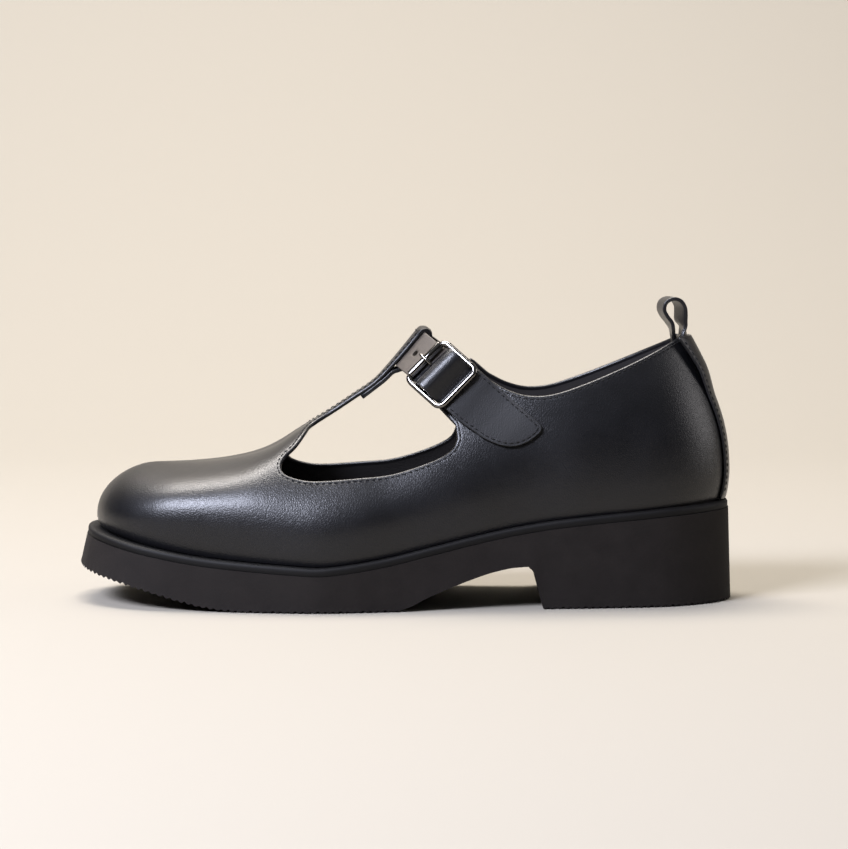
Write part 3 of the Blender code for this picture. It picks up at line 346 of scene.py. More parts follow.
def edge_line(rows, steps=10):
    line = [((share - 0.5) * SOLE_LENGTH, 0, sole_top((share - 0.5) * SOLE_LENGTH) + rise * INSTEP_RISE)
            for share, rise in rows]
    return [(p.x, p.z) for p in through(line, steps)]


# %% Outlines of the openings
FAR, LIP = SOLE_LENGTH, 0.9
COLLAR_CLEARANCE, EAR_CORNER, CUT_OUT_CORNER = 5, 7, 11
BAR_FLARE_START, BAR_FLARE_LENGTH, BAR_CORNER_BLEND, COLLAR_BLEND = -32, 24, 7.0, 1.0
SNAP = 0.2  # a vertex this near to the line, as a share of its edge, is moved on to it
collar_outline = [side_view(-FAR, -STRAP_WIDTH / 2 - COLLAR_CLEARANCE),
                  side_view(EAR_END - EAR_CORNER, -STRAP_WIDTH / 2 - COLLAR_CLEARANCE),
                  side_view(EAR_END - EAR_CORNER, 0),
                  side_view(EAR_END, EAR_TOP / 2), side_view(EAR_END, EAR_TOP)]
collar_outline += edge_line(COLLAR_EDGE) + [(FAR, FAR), (-FAR / 2, FAR)]
cut_out_outline = edge_line(CUT_OUT_EDGE)
cut_out_outline += [side_view(EAR_END + CUT_OUT_CORNER, EAR_BOTTOM - 1), side_view(EAR_END, EAR_BOTTOM)]
cut_out_outline += [side_view(EAR_END, EAR_TOP / 2 + 1), side_view(-FAR / 2, EAR_TOP / 2 + 1)]


def depth_inside(outline, x, z):
    """Signed distance to a closed outline, more than 0 inside, for arrays of points."""
    nearest = np.full(len(x), 1e9)
    inside = np.zeros(len(x), bool)
    for (x0, z0), (x1, z1) in zip(outline, outline[1:] + outline[:1]):
        dx, dz = x1 - x0, z1 - z0
        size = dx * dx + dz * dz
        if size < 1e-9:
            continue
        u = np.clip(((x - x0) * dx + (z - z0) * dz) / size, 0, 1)
        nearest = np.minimum(nearest, np.hypot(x - x0 - u * dx, z - z0 - u * dz))
        if dz:
            crosses = ((z0 > z) != (z1 > z)) & (x < x0 + (z - z0) * dx / dz)
            inside ^= crosses
    return np.where(inside, nearest, -nearest)


def soft_min(a, b, blend):
    return np.minimum(a, b) - np.maximum(blend - np.abs(a - b), 0) ** 2 / (4 * blend)


def openness(points):
    """More than 0 where the leather is cut away."""
    x, y, z = points[:, 0], points[:, 1], points[:, 2]
    along = (points - np.array(SLOPE_ZERO)) @ np.array(SLOPE_ALONG)
    flare = np.clip((along - BAR_FLARE_START) / BAR_FLARE_LENGTH, 0, 1)
    half_bar = T_BAR_WIDTH / 2 + flare * (LOOP_WIDTH - T_BAR_WIDTH) / 2
    beside_bar = np.abs(y) - half_bar + LIP
    cut_out = soft_min(depth_inside(cut_out_outline, x, z), beside_bar, BAR_CORNER_BLEND)
    off_bar = np.maximum(beside_bar, along - STRAP_WIDTH / 2 + 1.3)
    collar = soft_min(depth_inside(collar_outline, x, z) + LIP, off_bar, COLLAR_BLEND)
    return np.maximum(collar, cut_out)


# %% [markdown]
# ## Cutting the skin
# A Boolean would leave slivers along the cut, and slivers spoil a folded edge. The cut is made by hand
# instead: each mesh edge that crosses the line gets a vertex right on it, faces are split between two such
# vertices, and what lies inside the opening is deleted. A vertex that is already close is moved on to
# the line, so no face comes out tiny.

# %% Cutting helper
def cut_open(bm, setback=0.0):
    points = np.array([v.co[:] for v in bm.verts])
    depth = {v: d + setback for v, d in zip(bm.verts, openness(points))}
    for edge in list(bm.edges):
        one, two = edge.verts
        a, b = depth[one], depth[two]
        if a * b >= 0:
            continue
        u = a / (a - b)
        if u < SNAP or u > 1 - SNAP:
            near = one if u < 0.5 else two
            near.co = one.co.lerp(two.co, u)
            depth[near] = 0.0
    crossing = [e for e in bm.edges if depth[e.verts[0]] * depth[e.verts[1]] < 0]
    for edge in crossing:
        one, two = edge.verts
        u = depth[one] / (depth[one] - depth[two])
        fresh = bmesh.utils.edge_split(edge, one, u)[1]
        depth[fresh] = 0.0
    for face in list(bm.faces):
        on_line = [v for v in face.verts if depth[v] == 0.0]
        if len(on_line) != 2 or len(face.verts) < 4:
            continue
        if any(set(e.verts) == set(on_line) for e in face.edges):
            continue
        bmesh.utils.face_split(face, on_line[0], on_line[1])
    gone = [f for f in bm.faces if sum(depth[v] for v in f.verts) > 1e-9]
    bmesh.ops.delete(bm, geom=gone, context="FACES")
    loose = [v for v in bm.verts if not v.link_faces]
    bmesh.ops.delete(bm, geom=loose, context="VERTS")


def boundary_loops(bm):
    """Loops of vertices along the open edges, each in order."""
    left = {e: True for e in bm.edges if e.is_boundary}  # a dict keeps its order, so every run starts alike
    loops = []
    while left:
        edge = next(iter(left))
        del left[edge]
        line = [edge.verts[0], edge.verts[1]]
        while True:
            ahead = [e for e in line[-1].link_edges if e in left]
            if not ahead:
                break
            del left[ahead[0]]
            line.append(ahead[0].other_vert(line[-1]))
        loops.append(line)
    return loops


skin = surface.copy()
edge_mm = skin.verts.layers.float.new("edge_mm")
cut_open(skin)
loops = boundary_loops(skin)
edges_of_openings = [line for line in loops if max(v.co.z - sole_top(v.co.x) for v in line) > 12]
print("skin", len(skin.faces), "faces;", len(loops), "edge loops,",
      [round(sum((a.co - b.co).length for a, b in zip(l, l[1:]))) for l in edges_of_openings], "mm round")

# %% [markdown]
# ## Colours and node trees
# Colours are picked as sRGB hex values, which is how a photo shows them, and one function turns them to the
# linear values that shaders work in. Node trees are built with one helper that adds a node, sets it up and
# links its inputs.

# %% Colour and node helpers
def linear(hex_colour):
    parts = [int(hex_colour[k:k + 2], 16) / 255 for k in (1, 3, 5)]
    return (*[c / 12.92 if c < 0.04045 else ((c + 0.055) / 1.055) ** 2.4 for c in parts], 1.0)


def add(owner, kind, values=None, links=None, **settings):
    """Adds a node: settings are its own, values fill sockets, and links join them to other outputs."""
    tree = owner.node_tree
    node = tree.nodes.new("ShaderNode" + kind)
    for key, value in settings.items():
        setattr(node, key, value)
    for socket, value in (values or {}).items():
        node.inputs[socket].default_value = value
    for socket, source in (links or {}).items():
        tree.links.new(source, node.inputs[socket])
    return node


def new_material(name, **surface_values):
    material = bpy.data.materials.new(name)
    material.use_nodes = True
    shader = material.node_tree.nodes["Principled BSDF"]
    for socket, value in surface_values.items():
        shader.inputs[socket.replace("_", " ")].default_value = value
    return material, shader


def feed(material, shader, sources):
    """Links outputs to the shader's sockets."""
    for socket, source in sources.items():
        material.node_tree.links.new(source, shader.inputs[socket])


def per_metre(millimetres):
    """The scale of a texture whose cells are that many millimetres wide."""
    return 1000.0 / millimetres


# %% [markdown]
# ## Black box calf
# The upper is smooth, aniline-finished calf over a leather lining: a tight grain with pores under a
# millimetre, wax-polished to a satin that spreads a softbox into a wide grey sheen. The grain is a cell
# pattern 0.9 mm wide, as fine as this render can hold. Stretched over the last the skin also shows faint
# creases 3 to 4 mm apart, stronger in some patches. Near an edge the stitching pulls a shallow
# puckered channel, drawn from each point's distance to the edge, which the mesh carries.

# %% Calf material
def calf_material(name, channel=False, dulled=0.0):
    calf, shader = new_material(name, IOR=1.4, Coat_Weight=0.1, Coat_Roughness=0.3, Coat_IOR=1.5)
    place = add(calf, "TexCoord").outputs["Object"]
    patch = add(calf, "TexNoise", {"Scale": per_metre(34), "Detail": 3.0, "Roughness": 0.55}, {"Vector": place})
    tint = add(calf, "ValToRGB", links={"Fac": patch.outputs["Fac"]})
    tint.color_ramp.elements[0].position, tint.color_ramp.elements[1].position = 0.3, 0.75
    tint.color_ramp.elements[0].color, tint.color_ramp.elements[1].color = linear("#09090b"), linear("#0f0f12")
    gloss = add(calf, "MapRange",
                {"From Min": 0.3, "From Max": 0.7, "To Min": 0.31 + dulled, "To Max": 0.4 + dulled},
                {"Value": patch.outputs["Fac"]})
    bend = add(calf, "TexNoise", {"Scale": per_metre(5), "Detail": 2.0}, {"Vector": place})
    bent = add(calf, "VectorMath", {1: (0.0016, 0.0016, 0.0016)}, {0: bend.outputs["Color"]},
               operation="MULTIPLY")
    warped = add(calf, "VectorMath", links={0: place, 1: bent.outputs[0]}, operation="ADD")
    crease = add(calf, "TexVoronoi", {"Scale": per_metre(3.6)}, {"Vector": warped.outputs[0]},
                 feature="DISTANCE_TO_EDGE")
    soft = add(calf, "MapRange", {"From Max": 0.16}, {"Value": crease.outputs["Distance"]},
               interpolation_type="SMOOTHSTEP")
    where = add(calf, "MapRange", {"From Min": 0.42, "From Max": 0.68}, {"Value": patch.outputs["Fac"]})
    creased = add(calf, "Math", links={0: soft.outputs[0], 1: where.outputs[0]}, operation="MULTIPLY")
    pore = add(calf, "TexVoronoi", {"Scale": per_metre(0.9)}, {"Vector": place}, feature="DISTANCE_TO_EDGE")
    grain = add(calf, "MapRange", {"From Max": 0.3}, {"Value": pore.outputs["Distance"]})
    lumps = add(calf, "TexNoise", {"Scale": per_metre(9), "Detail": 2.0}, {"Vector": place})
    height = add(calf, "Math", {1: 0.7}, {0: grain.outputs[0]}, operation="MULTIPLY")
    for part, weight in ((creased.outputs[0], 0.55), (lumps.outputs["Fac"], 0.8)):
        height = add(calf, "Math", {1: weight}, {0: part, 2: height.outputs[0]}, operation="MULTIPLY_ADD")
    if channel:
        edge = add(calf, "Attribute", attribute_name="edge_mm")
        pucker = add(calf, "TexNoise", {"Scale": per_metre(2.6), "Detail": 1.0}, {"Vector": place})
        away = add(calf, "Math", {1: 0.75}, {0: edge.outputs["Fac"]}, operation="SUBTRACT")
        away = add(calf, "Math", {1: 0.55}, {0: away.outputs[0]}, operation="DIVIDE")
        square = add(calf, "Math", {1: 2.0}, {0: away.outputs[0]}, operation="POWER")
        minus = add(calf, "Math", {1: -1.0}, {0: square.outputs[0]}, operation="MULTIPLY")
        groove = add(calf, "Math", links={0: minus.outputs[0]}, operation="EXPONENT")
        pulled = add(calf, "MapRange", {"To Min": 0.5, "To Max": 2.2}, {"Value": pucker.outputs["Fac"]})
        groove = add(calf, "Math", links={0: groove.outputs[0], 1: pulled.outputs[0]}, operation="MULTIPLY")
        height = add(calf, "Math", links={0: height.outputs[0], 1: groove.outputs[0]}, operation="SUBTRACT")
    relief = add(calf, "Bump", {"Strength": 1.0, "Distance": 0.00005}, {"Height": height.outputs[0]})
    feed(calf, shader, {"Base Color": tint.outputs["Color"], "Roughness": gloss.outputs[0],
                        "Normal": relief.outputs["Normal"]})
    return calf


box_calf = calf_material("box_calf_stitched_edges", channel=True)
plain_calf = calf_material("box_calf")
tab_calf = calf_material("box_calf_rubbed_tab", channel=True, dulled=0.24)
print("calf", len(box_calf.node_tree.nodes), "nodes")


# %% [markdown]
# ## From points to pieces
# Every piece goes the same way: a mesh in metres, smooth faces, a material, a ride on the only body and,
# where a plain solid stands in its place, that solid's name. One function does that.

# %% Piece helper
def dress(name, bm, finish, slot, *nodes):
    """Turns a mesh in millimetres into a finished piece that stands for the named nodes."""
    mesh = bpy.data.meshes.new(name)
    for v in bm.verts:
        v.co = metres(v.co)
    for face in bm.faces:
        face.smooth = True
    bm.to_mesh(mesh)
    bm.free()
    item = placed(name, mesh)
    mesh.materials.append(finish)
    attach(item, "root")
    if nodes:
        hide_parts(*nodes)
    return item


# %% [markdown]
# ## The folded edge
# The calf is skived thin along the opening and folded over, so the edge is round, and it catches the light
# as one thin line. Here the open boundary of the skin grows a half-round lip 0.9 mm in radius that turns
# under, and ends as a hem against the lining. The lip needs three directions at each point: along the
# edge, off the leather, and out into the opening.

# %% Fold the edge
EDGE_SPACING, HEM, FAR_FROM_EDGE = 0.4, 3.0, 9.0


def loop_frames(line, closed):
    """Outward directions, in the surface and square to the edge, smoothed along the loop."""
    count = len(line)
    outs = []
    for k, v in enumerate(line):
        before = line[k - 1] if closed or k else line[0]
        after = line[(k + 1) % count] if closed or k < count - 1 else line[-1]
        along = (after.co - before.co).normalized()
        out = along.cross(v.normal).normalized()
        inward = sum((f.calc_center_median() for f in v.link_faces), Vector()) / len(v.link_faces) - v.co
        outs.append(-out if out.dot(inward) > 0 else out)
    for _ in range(4):
        outs = [(outs[k - 1] + outs[k] * 2 + outs[(k + 1) % count]).normalized() for k in range(count)]
    return outs


def fold_edge(bm, line, radius, hem):
    closed = line[0] is line[-1]
    ring = line[:-1] if closed else line
    bm.normal_update()
    outs = loop_frames(ring, closed)
    normals = [v.normal.copy() for v in ring]
    roots = [v.co.copy() for v in ring]
    rounds = [math.radians(d) for d in (25, 50, 75, 100, 125, 150, 180)]
    profile = [(radius * math.sin(a), -radius * (1 - math.cos(a))) for a in rounds] + [(-hem, -radius * 2.05)]
    last = ring
    for out, off in profile:
        fresh = [bm.verts.new(p + o * out + n * off) for p, o, n in zip(roots, outs, normals)]
        bridge(bm, last, fresh, closed)
        last = fresh
    bmesh.ops.recalc_face_normals(bm, faces=bm.faces)
    return roots, outs, normals


def dense(points, closed, spacing):
    """Points evenly spaced along a line."""
    chain = list(points) + ([points[0]] if closed else [])
    total = sum((b - a).length for a, b in zip(chain, chain[1:]))
    count = max(2, round(total / spacing))
    result, walked, k = [], 0.0, 0
    for i in range(count + (0 if closed else 1)):
        want = total * i / count
        while k < len(chain) - 2 and walked + (chain[k + 1] - chain[k]).length < want:
            walked += (chain[k + 1] - chain[k]).length
            k += 1
        step = (chain[k + 1] - chain[k]).length or 1.0
        result.append(chain[k].lerp(chain[k + 1], min(1.0, (want - walked) / step)))
    return result


opening = max(edges_of_openings, key=len)
edge_points = dense([v.co.copy() for v in opening[:-1]], True, EDGE_SPACING)
near_edge = KDTree(len(edge_points))
for k, point in enumerate(edge_points):
    near_edge.insert(point, k)
near_edge.balance()
for v in skin.verts:
    v[edge_mm] = min(FAR_FROM_EDGE, near_edge.find(v.co)[2])
opening_roots, opening_outs, opening_normals = fold_edge(skin, opening, LIP, HEM)
upper = dress("calf_upper", skin, box_calf, "calf", "upper")
print("upper", len(upper.data.polygons), "faces, edge", len(edge_points) * EDGE_SPACING, "mm")

# %% [markdown]
# ## Lining and sock
# Inside, the shoe is lined with thin matt leather, cut back behind the folded edge, and a sock covers
# the insole. Both show through the cut-outs and from above. The lining is the same surface moved in by
# nearly the wall's thickness.

# %% Lining
def matt_leather(name, dark, light, grain_mm):
    leather, shader = new_material(name, Roughness=0.62, IOR=1.45, Sheen_Weight=0.08, Sheen_Roughness=0.5)
    place = add(leather, "TexCoord").outputs["Object"]
    cloudy = add(leather, "TexNoise", {"Scale": per_metre(14), "Detail": 5.0}, {"Vector": place})
    tint = add(leather, "ValToRGB", links={"Fac": cloudy.outputs["Fac"]})
    tint.color_ramp.elements[0].color, tint.color_ramp.elements[1].color = linear(dark), linear(light)
    fine = add(leather, "TexNoise", {"Scale": per_metre(grain_mm), "Detail": 3.0}, {"Vector": place})
    relief = add(leather, "Bump", {"Strength": 0.6, "Distance": 0.0001}, {"Height": fine.outputs["Fac"]})
    feed(leather, shader, {"Base Color": tint.outputs["Color"], "Normal": relief.outputs["Normal"]})
    return leather


lining_leather = matt_leather("lining_leather", "#1d1b1b", "#2a2727", 1.2)
sock_leather = matt_leather("sock_leather", "#1f1c1b", "#2c2826", 1.5)
lining = last_surface(*CAGE, 2)
LINING_SETBACK, LINING_DEPTH = 0.6, LIP * 2 + 0.1
cut_open(lining, setback=LINING_SETBACK)
lining.normal_update()
outward = sum(f.normal.dot(f.calc_center_median() - middle_point) > 0 for f in lining.faces)
side = 1 if outward > len(lining.faces) / 2 else -1
moved = [v.co - v.normal * side * LINING_DEPTH for v in lining.verts]
for v, co in zip(lining.verts, moved):
    v.co = co
lining_piece = dress("lining", lining, lining_leather, "calf")
print("lining", len(lining_piece.data.polygons), "faces")

# %% [markdown]
# ## Sole: foam unit, rand and sock
# The sole is one moulding of black EVA foam rubber: light, matt, with a skin that shows fine speckle, and
# ripples 3 mm apart cut across the tread for grip. They run right out to the edge, so the bottom line looks
# finely toothed where it lifts off the floor. A rand, the smooth band on top, carries the upper; its top
# edge is rounded and catches the light. Both are rings of points at stations along the shoe.

# %% Foam and rand materials
def rubber(name, dark, light, roughness, speck_mm, speck_depth):
    made, shader = new_material(name, IOR=1.28)
    place = add(made, "TexCoord").outputs["Object"]
    cloud = add(made, "TexNoise", {"Scale": per_metre(11), "Detail": 6.0, "Roughness": 0.6}, {"Vector": place})
    tint = add(made, "ValToRGB", links={"Fac": cloud.outputs["Fac"]})
    tint.color_ramp.elements[0].position, tint.color_ramp.elements[1].position = 0.35, 0.7
    tint.color_ramp.elements[0].color, tint.color_ramp.elements[1].color = linear(dark), linear(light)
    speck = add(made, "TexNoise", {"Scale": per_metre(speck_mm), "Detail": 4.0, "Roughness": 0.65},
                {"Vector": place})
    relief = add(made, "Bump", {"Strength": 0.8, "Distance": speck_depth * MM}, {"Height": speck.outputs["Fac"]})
    gloss = add(made, "MapRange", {"To Min": roughness - 0.05, "To Max": roughness + 0.07},
                {"Value": cloud.outputs["Fac"]})
    feed(made, shader, {"Base Color": tint.outputs["Color"], "Roughness": gloss.outputs[0],
                        "Normal": relief.outputs["Normal"]})
    return made


eva_foam = rubber("eva_foam_rubber", "#120e0c", "#181412", 0.8, 1.1, 0.12)
rand_rubber = rubber("smooth_rand_rubber", "#060505", "#080707", 0.62, 2.0, 0.05)


# %% Outline of the sole
def sole_edge(turn, level, side, inset=0.0):
    """A point in plan on the sole's edge; level is 0 at the tread and 1 at the top."""
    share = share_of(turn)
    middle, half = plan(turn)
    front = -SOLE_LENGTH / 2 + TOE_SLANT * level + inset
    back = SOLE_LENGTH / 2 - HEEL_SLANT * level - inset
    ledge = cubic(SECTIONS, 4, share) * TOE_LEDGE + SIDE_SLANT * (1 - level)
    wide = max(0.0, half + (ledge - inset) * min(1.0, half / TOE_LEDGE / 4))
    return front + (back - front) * share, middle + side * wide


def closed_rings(rings):
    """A closed skin over rings of equal count, welded where its ends run together."""
    bm = bmesh.new()
    rows = [[bm.verts.new(p) for p in ring] for ring in rings]
    for one, two in zip(rows, rows[1:]):
        bridge(bm, one, two)
    bmesh.ops.remove_doubles(bm, verts=bm.verts, dist=0.004)
    bmesh.ops.holes_fill(bm, edges=[e for e in bm.edges if e.is_boundary], sides=0)
    bmesh.ops.recalc_face_normals(bm, faces=bm.faces)
    return bm


# %% Foam unit with its rippled tread
RIPPLE_PITCH, RIPPLE_DEPTH = 3.0, 0.8
fine_turns = [k / 3000 for k in range(3001)]
fine_spots = [Vector(sole_edge(turn, 0, -1)) for turn in fine_turns]
arcs = np.cumsum([0.0] + [(b - a).length for a, b in zip(fine_spots, fine_spots[1:])])


def ripple(arc, share):
    """How far the tread is cut away: rounded teeth along the edge, which fade out under the arch."""
    tooth = abs(math.sin(math.pi * arc / RIPPLE_PITCH)) ** 2.5
    fade = min(1.0, max(0.0, (0.5 - share) / 0.03)) + min(1.0, max(0.0, (share - 0.708) / 0.004))
    return RIPPLE_DEPTH * (0.9 + 0.2 * math.sin(arc * 0.7)) * tooth * min(1.0, fade)


station_arcs = [k * 0.5 for k in range(int(arcs[-1] / 0.5))] + [arcs[-1]]
stations = [(float(np.interp(arc, arcs, fine_turns)), arc) for arc in station_arcs]
foam_rings = []
for turn, arc in stations:
    share = share_of(turn)
    ring = []
    for side in (-1, 1):
        wall = []
        for level in (0.0, 0.08, 0.3, 0.6, 0.85, 1.0):
            x, y = sole_edge(turn, level, side)
            top = sole_top(x) - RAND_THICKNESS
            low = tread_line(share)
            if level < 0.01:
                low += ripple(arc, share)
            wall.append((x, y, low + (top - low) * level))
        ring += wall if side < 0 else wall[::-1]
    foam_rings.append(ring)
foam = closed_rings(foam_rings)
foam_unit = dress("foam_unit", foam, eva_foam, "foam_rubber", "outsole")
foam_unit.modifiers.new("edges", "EDGE_SPLIT").split_angle = math.radians(35)
print("foam unit", len(foam_unit.data.polygons), "faces,", RIPPLE_PITCH, "mm ripples")

# %% Rand
rand_profile = [(0.5, RAND_THICKNESS + 0.1), (0.35, RAND_THICKNESS - 0.2), (0.3, 1.5), (0.38, 1.0), (0.62, 0.5),
                (1.0, 0.18), (1.5, 0.0), (2.5, 0.0), (8.0, 0.3), (8.0, RAND_THICKNESS)]
rand_turns = [k / 300 for k in range(301)]
rand_rings = []
for turn in rand_turns:
    outer = [sole_edge(turn, 1, -1, inset) + (drop,) for inset, drop in rand_profile]
    inner = [sole_edge(turn, 1, 1, inset) + (drop,) for inset, drop in rand_profile[::-1]]
    rand_rings.append([(x, y, sole_top(x) - drop) for x, y, drop in outer + inner])
rand = closed_rings(rand_rings)
rand_piece = dress("rand", rand, rand_rubber, "rand", "welt")
rand_piece.modifiers.new("edges", "EDGE_SPLIT").split_angle = math.radians(40)
print("rand", len(rand_piece.data.polygons), "faces")

# %% Sock over the insole
sock_inset = FEATHER_TUCK * (1 - math.cos(FEATHER_ANGLE)) + WALL + 2 * GAP
sock_rings = []
for k in range(1, 120):
    turn = k / 120
    front, back = UPPER_TOE + sock_inset, UPPER_HEEL - sock_inset
    x = front + (back - front) * share_of(turn)
    middle, half = plan(turn)
    wide = half - sock_inset * min(1.0, half / FEATHER_TUCK / 4)
    low = sole_top(x) + GAP
    ring = [(x, middle + wide * s, low) for s in (-1.0, 1.0)]
    ring += [(x, middle + wide * s, low + SOCK_THICKNESS + 1.2 * abs(s) ** 3 - 0.6)
             for s in (1.0, 0.97, 0.9, 0.75, 0.5, 0.25, 0, -0.25, -0.5, -0.75, -0.9, -0.97, -1.0)]
    sock_rings.append(ring)
sock_piece = dress("sock", closed_rings(sock_rings), sock_leather, "sock", "insole")
print("sock", len(sock_piece.data.polygons), "faces")

# %% [markdown]
# ## Laying pieces on the foot
# Strap, tab, loop and back strip all lie on the last, so each starts as a few key lines across it. Rays from
# inside find where a key line meets the last, and a smooth curve joins one key line to the next. Each piece
# then gets its thickness, with corners rounded as an edge tool leaves them and a fine line along the middle
# of the edge, where the outer leather and its lining are glued together.

# %% Rays on to the last
def meet(origin, direction):
    point, normal, _, _ = guide_tree.ray_cast(origin, direction)
    return point, normal if normal.dot(direction) > 0 else -normal


def around(angle, along, lift):
    """A point at an angle about the strap's axis, 0 on the ridge and less than 0 on the outer side."""
    origin = slope_point(0, STRAP_AXIS_DROP, along)
    hits = [meet(origin, Vector((0, math.sin(a), 0)) - SLOPE_DOWN * math.cos(a))
            for a in (angle - 0.08, angle, angle + 0.08)]
    normal = sum((n for _, n in hits), Vector()).normalized()
    return hits[1][0] + normal * lift, normal


def beside(down, along, side, lift):
    point, normal = meet(slope_point(0, down, along), Vector((0, side, 0)))
    return point + normal * lift, normal


def behind(side, height, lift):
    point, normal = meet(Vector((UPPER_HEEL - COUNTER_DEPTH, side, height)), Vector((1, 0, 0)))
    return point + normal * lift, normal


# %% Strips of leather
KEY_STEPS = 5  # rows from one key line to the next


def across(low, high, columns):
    return [low.lerp(high, j / (columns - 1)) for j in range(columns)]


def laid(keys, steps):
    """Points and normals, smooth along key lines that each run across the strip."""
    lines = [through(line, steps) for line in zip(*keys)]
    grid = []
    for i in range(len(lines[0])):
        before, after = max(i - 1, 0), min(i + 1, len(lines[0]) - 1)
        row = []
        for j, line in enumerate(lines):
            side = lines[min(j + 1, len(lines) - 1)][i] - lines[max(j - 1, 0)][i]
            row.append((line[i], side.cross(line[after] - line[before]).normalized()))
        grid.append(row)
    return grid


def facing(grid, outward):
    """The same grid with its normals on the outward side."""
    if sum(n.dot(outward) for row in grid for _, n in row) > 0:
        return grid
    return [[(p, -n) for p, n in row] for row in grid]


def rim_of(grid):
    """The strip's border in order: its point, its normal, and the way out of the strip."""
    rows, columns = len(grid), len(grid[0])
    order = [(0, j) for j in range(columns)] + [(i, columns - 1) for i in range(1, rows)]
    order += [(rows - 1, j) for j in range(columns - 2, -1, -1)] + [(i, 0) for i in range(rows - 2, 0, -1)]
    outs = []
    for k, (i, j) in enumerate(order):
        point, normal = grid[i][j]
        before, after = order[k - 1], order[(k + 1) % len(order)]
        way = grid[after[0]][after[1]][0] - grid[before[0]][before[1]][0]
        inner = grid[min(max(i, 1), rows - 2)][min(max(j, 1), columns - 2)][0]
        out = way.cross(normal).normalized()
        outs.append(-out if out.dot(inner - point) > 0 else out)
    for _ in range(2):
        outs = [(outs[k - 1] + outs[k] * 2 + outs[(k + 1) % len(outs)]).normalized() for k in range(len(outs))]
    return [(order[k], grid[order[k][0]][order[k][1]], outs[k]) for k in range(len(order))]


def leather_strip(grid, thickness, corner=0.4):
    """A closed strip with rounded corners. It grows past the grid by the size of its corner."""
    bm = bmesh.new()
    far_in = bm.verts.layers.float.new("edge_mm")
    half = thickness / 2
    top = [[bm.verts.new(p + n * half) for p, n in row] for row in grid]
    under = [[bm.verts.new(p - n * half) for p, n in row] for row in grid]
    for i in range(len(grid) - 1):
        for j in range(len(grid[0]) - 1):
            bm.faces.new((top[i][j], top[i + 1][j], top[i + 1][j + 1], top[i][j + 1]))
            bm.faces.new((under[i][j], under[i][j + 1], under[i + 1][j + 1], under[i + 1][j]))
    rim = rim_of(grid)
    bends = [math.radians(d) for d in (22, 45, 68, 90)]
    profile = [(corner * math.sin(a), half - corner + corner * math.cos(a)) for a in bends]
    profile += [(corner, 0.12), (corner - 0.12, 0.0), (corner, -0.12)] if half > corner + 0.1 else []
    profile += [(corner * math.sin(a), corner - half - corner * math.cos(a)) for a in bends[::-1]]
    last = [top[i][j] for (i, j), _, _ in rim]
    rings = [[bm.verts.new(p + out * o + n * off) for _, (p, n), out in rim] for o, off in profile]
    for ring in rings + [[under[i][j] for (i, j), _, _ in rim]]:
        bridge(bm, last, ring)
        last = ring
    tree = KDTree(len(rim))
    for k, (_, (p, _), out) in enumerate(rim):
        tree.insert(p + out * corner, k)
    tree.balance()
    for row, line in zip(top, grid):
        for v, (p, _) in zip(row, line):
            v[far_in] = min(FAR_FROM_EDGE, tree.find(p)[2])
    bmesh.ops.recalc_face_normals(bm, faces=bm.faces)
    return bm


# %% [markdown]
# ## Stitches
# Upper leather is sewn about 2.5 mm from stitch to stitch with bonded thread about 0.5 mm thick. A stitch is a
# short thread that rises out of its pinhole and dips back into the next one, so each is a small bent
# sausage whose ends are sunk below the grain. The row keeps an even distance from its edge.

# %% Stitch rows
thread, thread_shader = new_material("bonded_thread", Roughness=0.8, IOR=1.35)
thread_shader.inputs["Base Color"].default_value = linear("#060607")
STITCH_PITCH, STITCH_LENGTH, THREAD_RADIUS, THREAD_SIDES = 2.5, 1.9, 0.26, 8
STITCH_PLACES = (0.0, 0.08, 0.25, 0.5, 0.75, 0.92, 1.0)


def evenly(line, closed, spacing):
    """Points and normals evenly spaced along a line of points and normals."""
    spots = dense([p for p, _ in line], closed, spacing)
    tree = KDTree(len(line))
    for k, (p, _) in enumerate(line):
        tree.insert(p, k)
    tree.balance()
    return [(p, line[tree.find(p)[1]][1]) for p in spots]


def add_stitches(bm, line, closed=False):
    spots = evenly(line, closed, STITCH_PITCH)
    ahead = spots[1:] + spots[:1] if closed else spots[1:]
    for (a, normal), (b, _) in zip(spots, ahead):
        way = (b - a).normalized()
        side = way.cross(normal).normalized()
        rings = []
        for u in STITCH_PLACES:
            rise = THREAD_RADIUS * (1.5 * math.sin(math.pi * u) ** 0.6 - 1.1)
            size = THREAD_RADIUS * (0.45 + 0.55 * math.sin(math.pi * u) ** 0.5)
            centre = a + way * STITCH_LENGTH * u + normal * rise
            rings.append([bm.verts.new(centre + (side * math.cos(t) + normal * math.sin(t)) * size)
                          for t in [2 * math.pi * k / THREAD_SIDES for k in range(THREAD_SIDES)]])
        tube(bm, rings)


def sewn(name, lines, closed=False):
    bm = bmesh.new()
    for line in lines:
        add_stitches(bm, line, closed)
    bmesh.ops.recalc_face_normals(bm, faces=bm.faces)
    count = len(bm.faces) // (THREAD_SIDES * (len(STITCH_PLACES) - 1) + 2)
    dress(name, bm, thread, "calf")
    print(name, count, "stitches")


def row_inside(grid, thickness, inset, keep=lambda i, j: True):
    """A line on the strip's face at a distance from its border, along the border points to keep."""
    return [(p - out * inset + n * thickness / 2, n) for (i, j), (p, n), out in rim_of(grid) if keep(i, j)]


EDGE_ROW = 0.65
opening_row = [(r - o * EDGE_ROW, n) for r, o, n in zip(opening_roots, opening_outs, opening_normals)]
sewn("stitches_openings", [opening_row], closed=True)

# %% [markdown]
# ## Buckle axes
# The buckle leans on the outer side of the instep. Its own axes run along the strap from the roller to the
# rear bar, across the strap, and up off the foot.

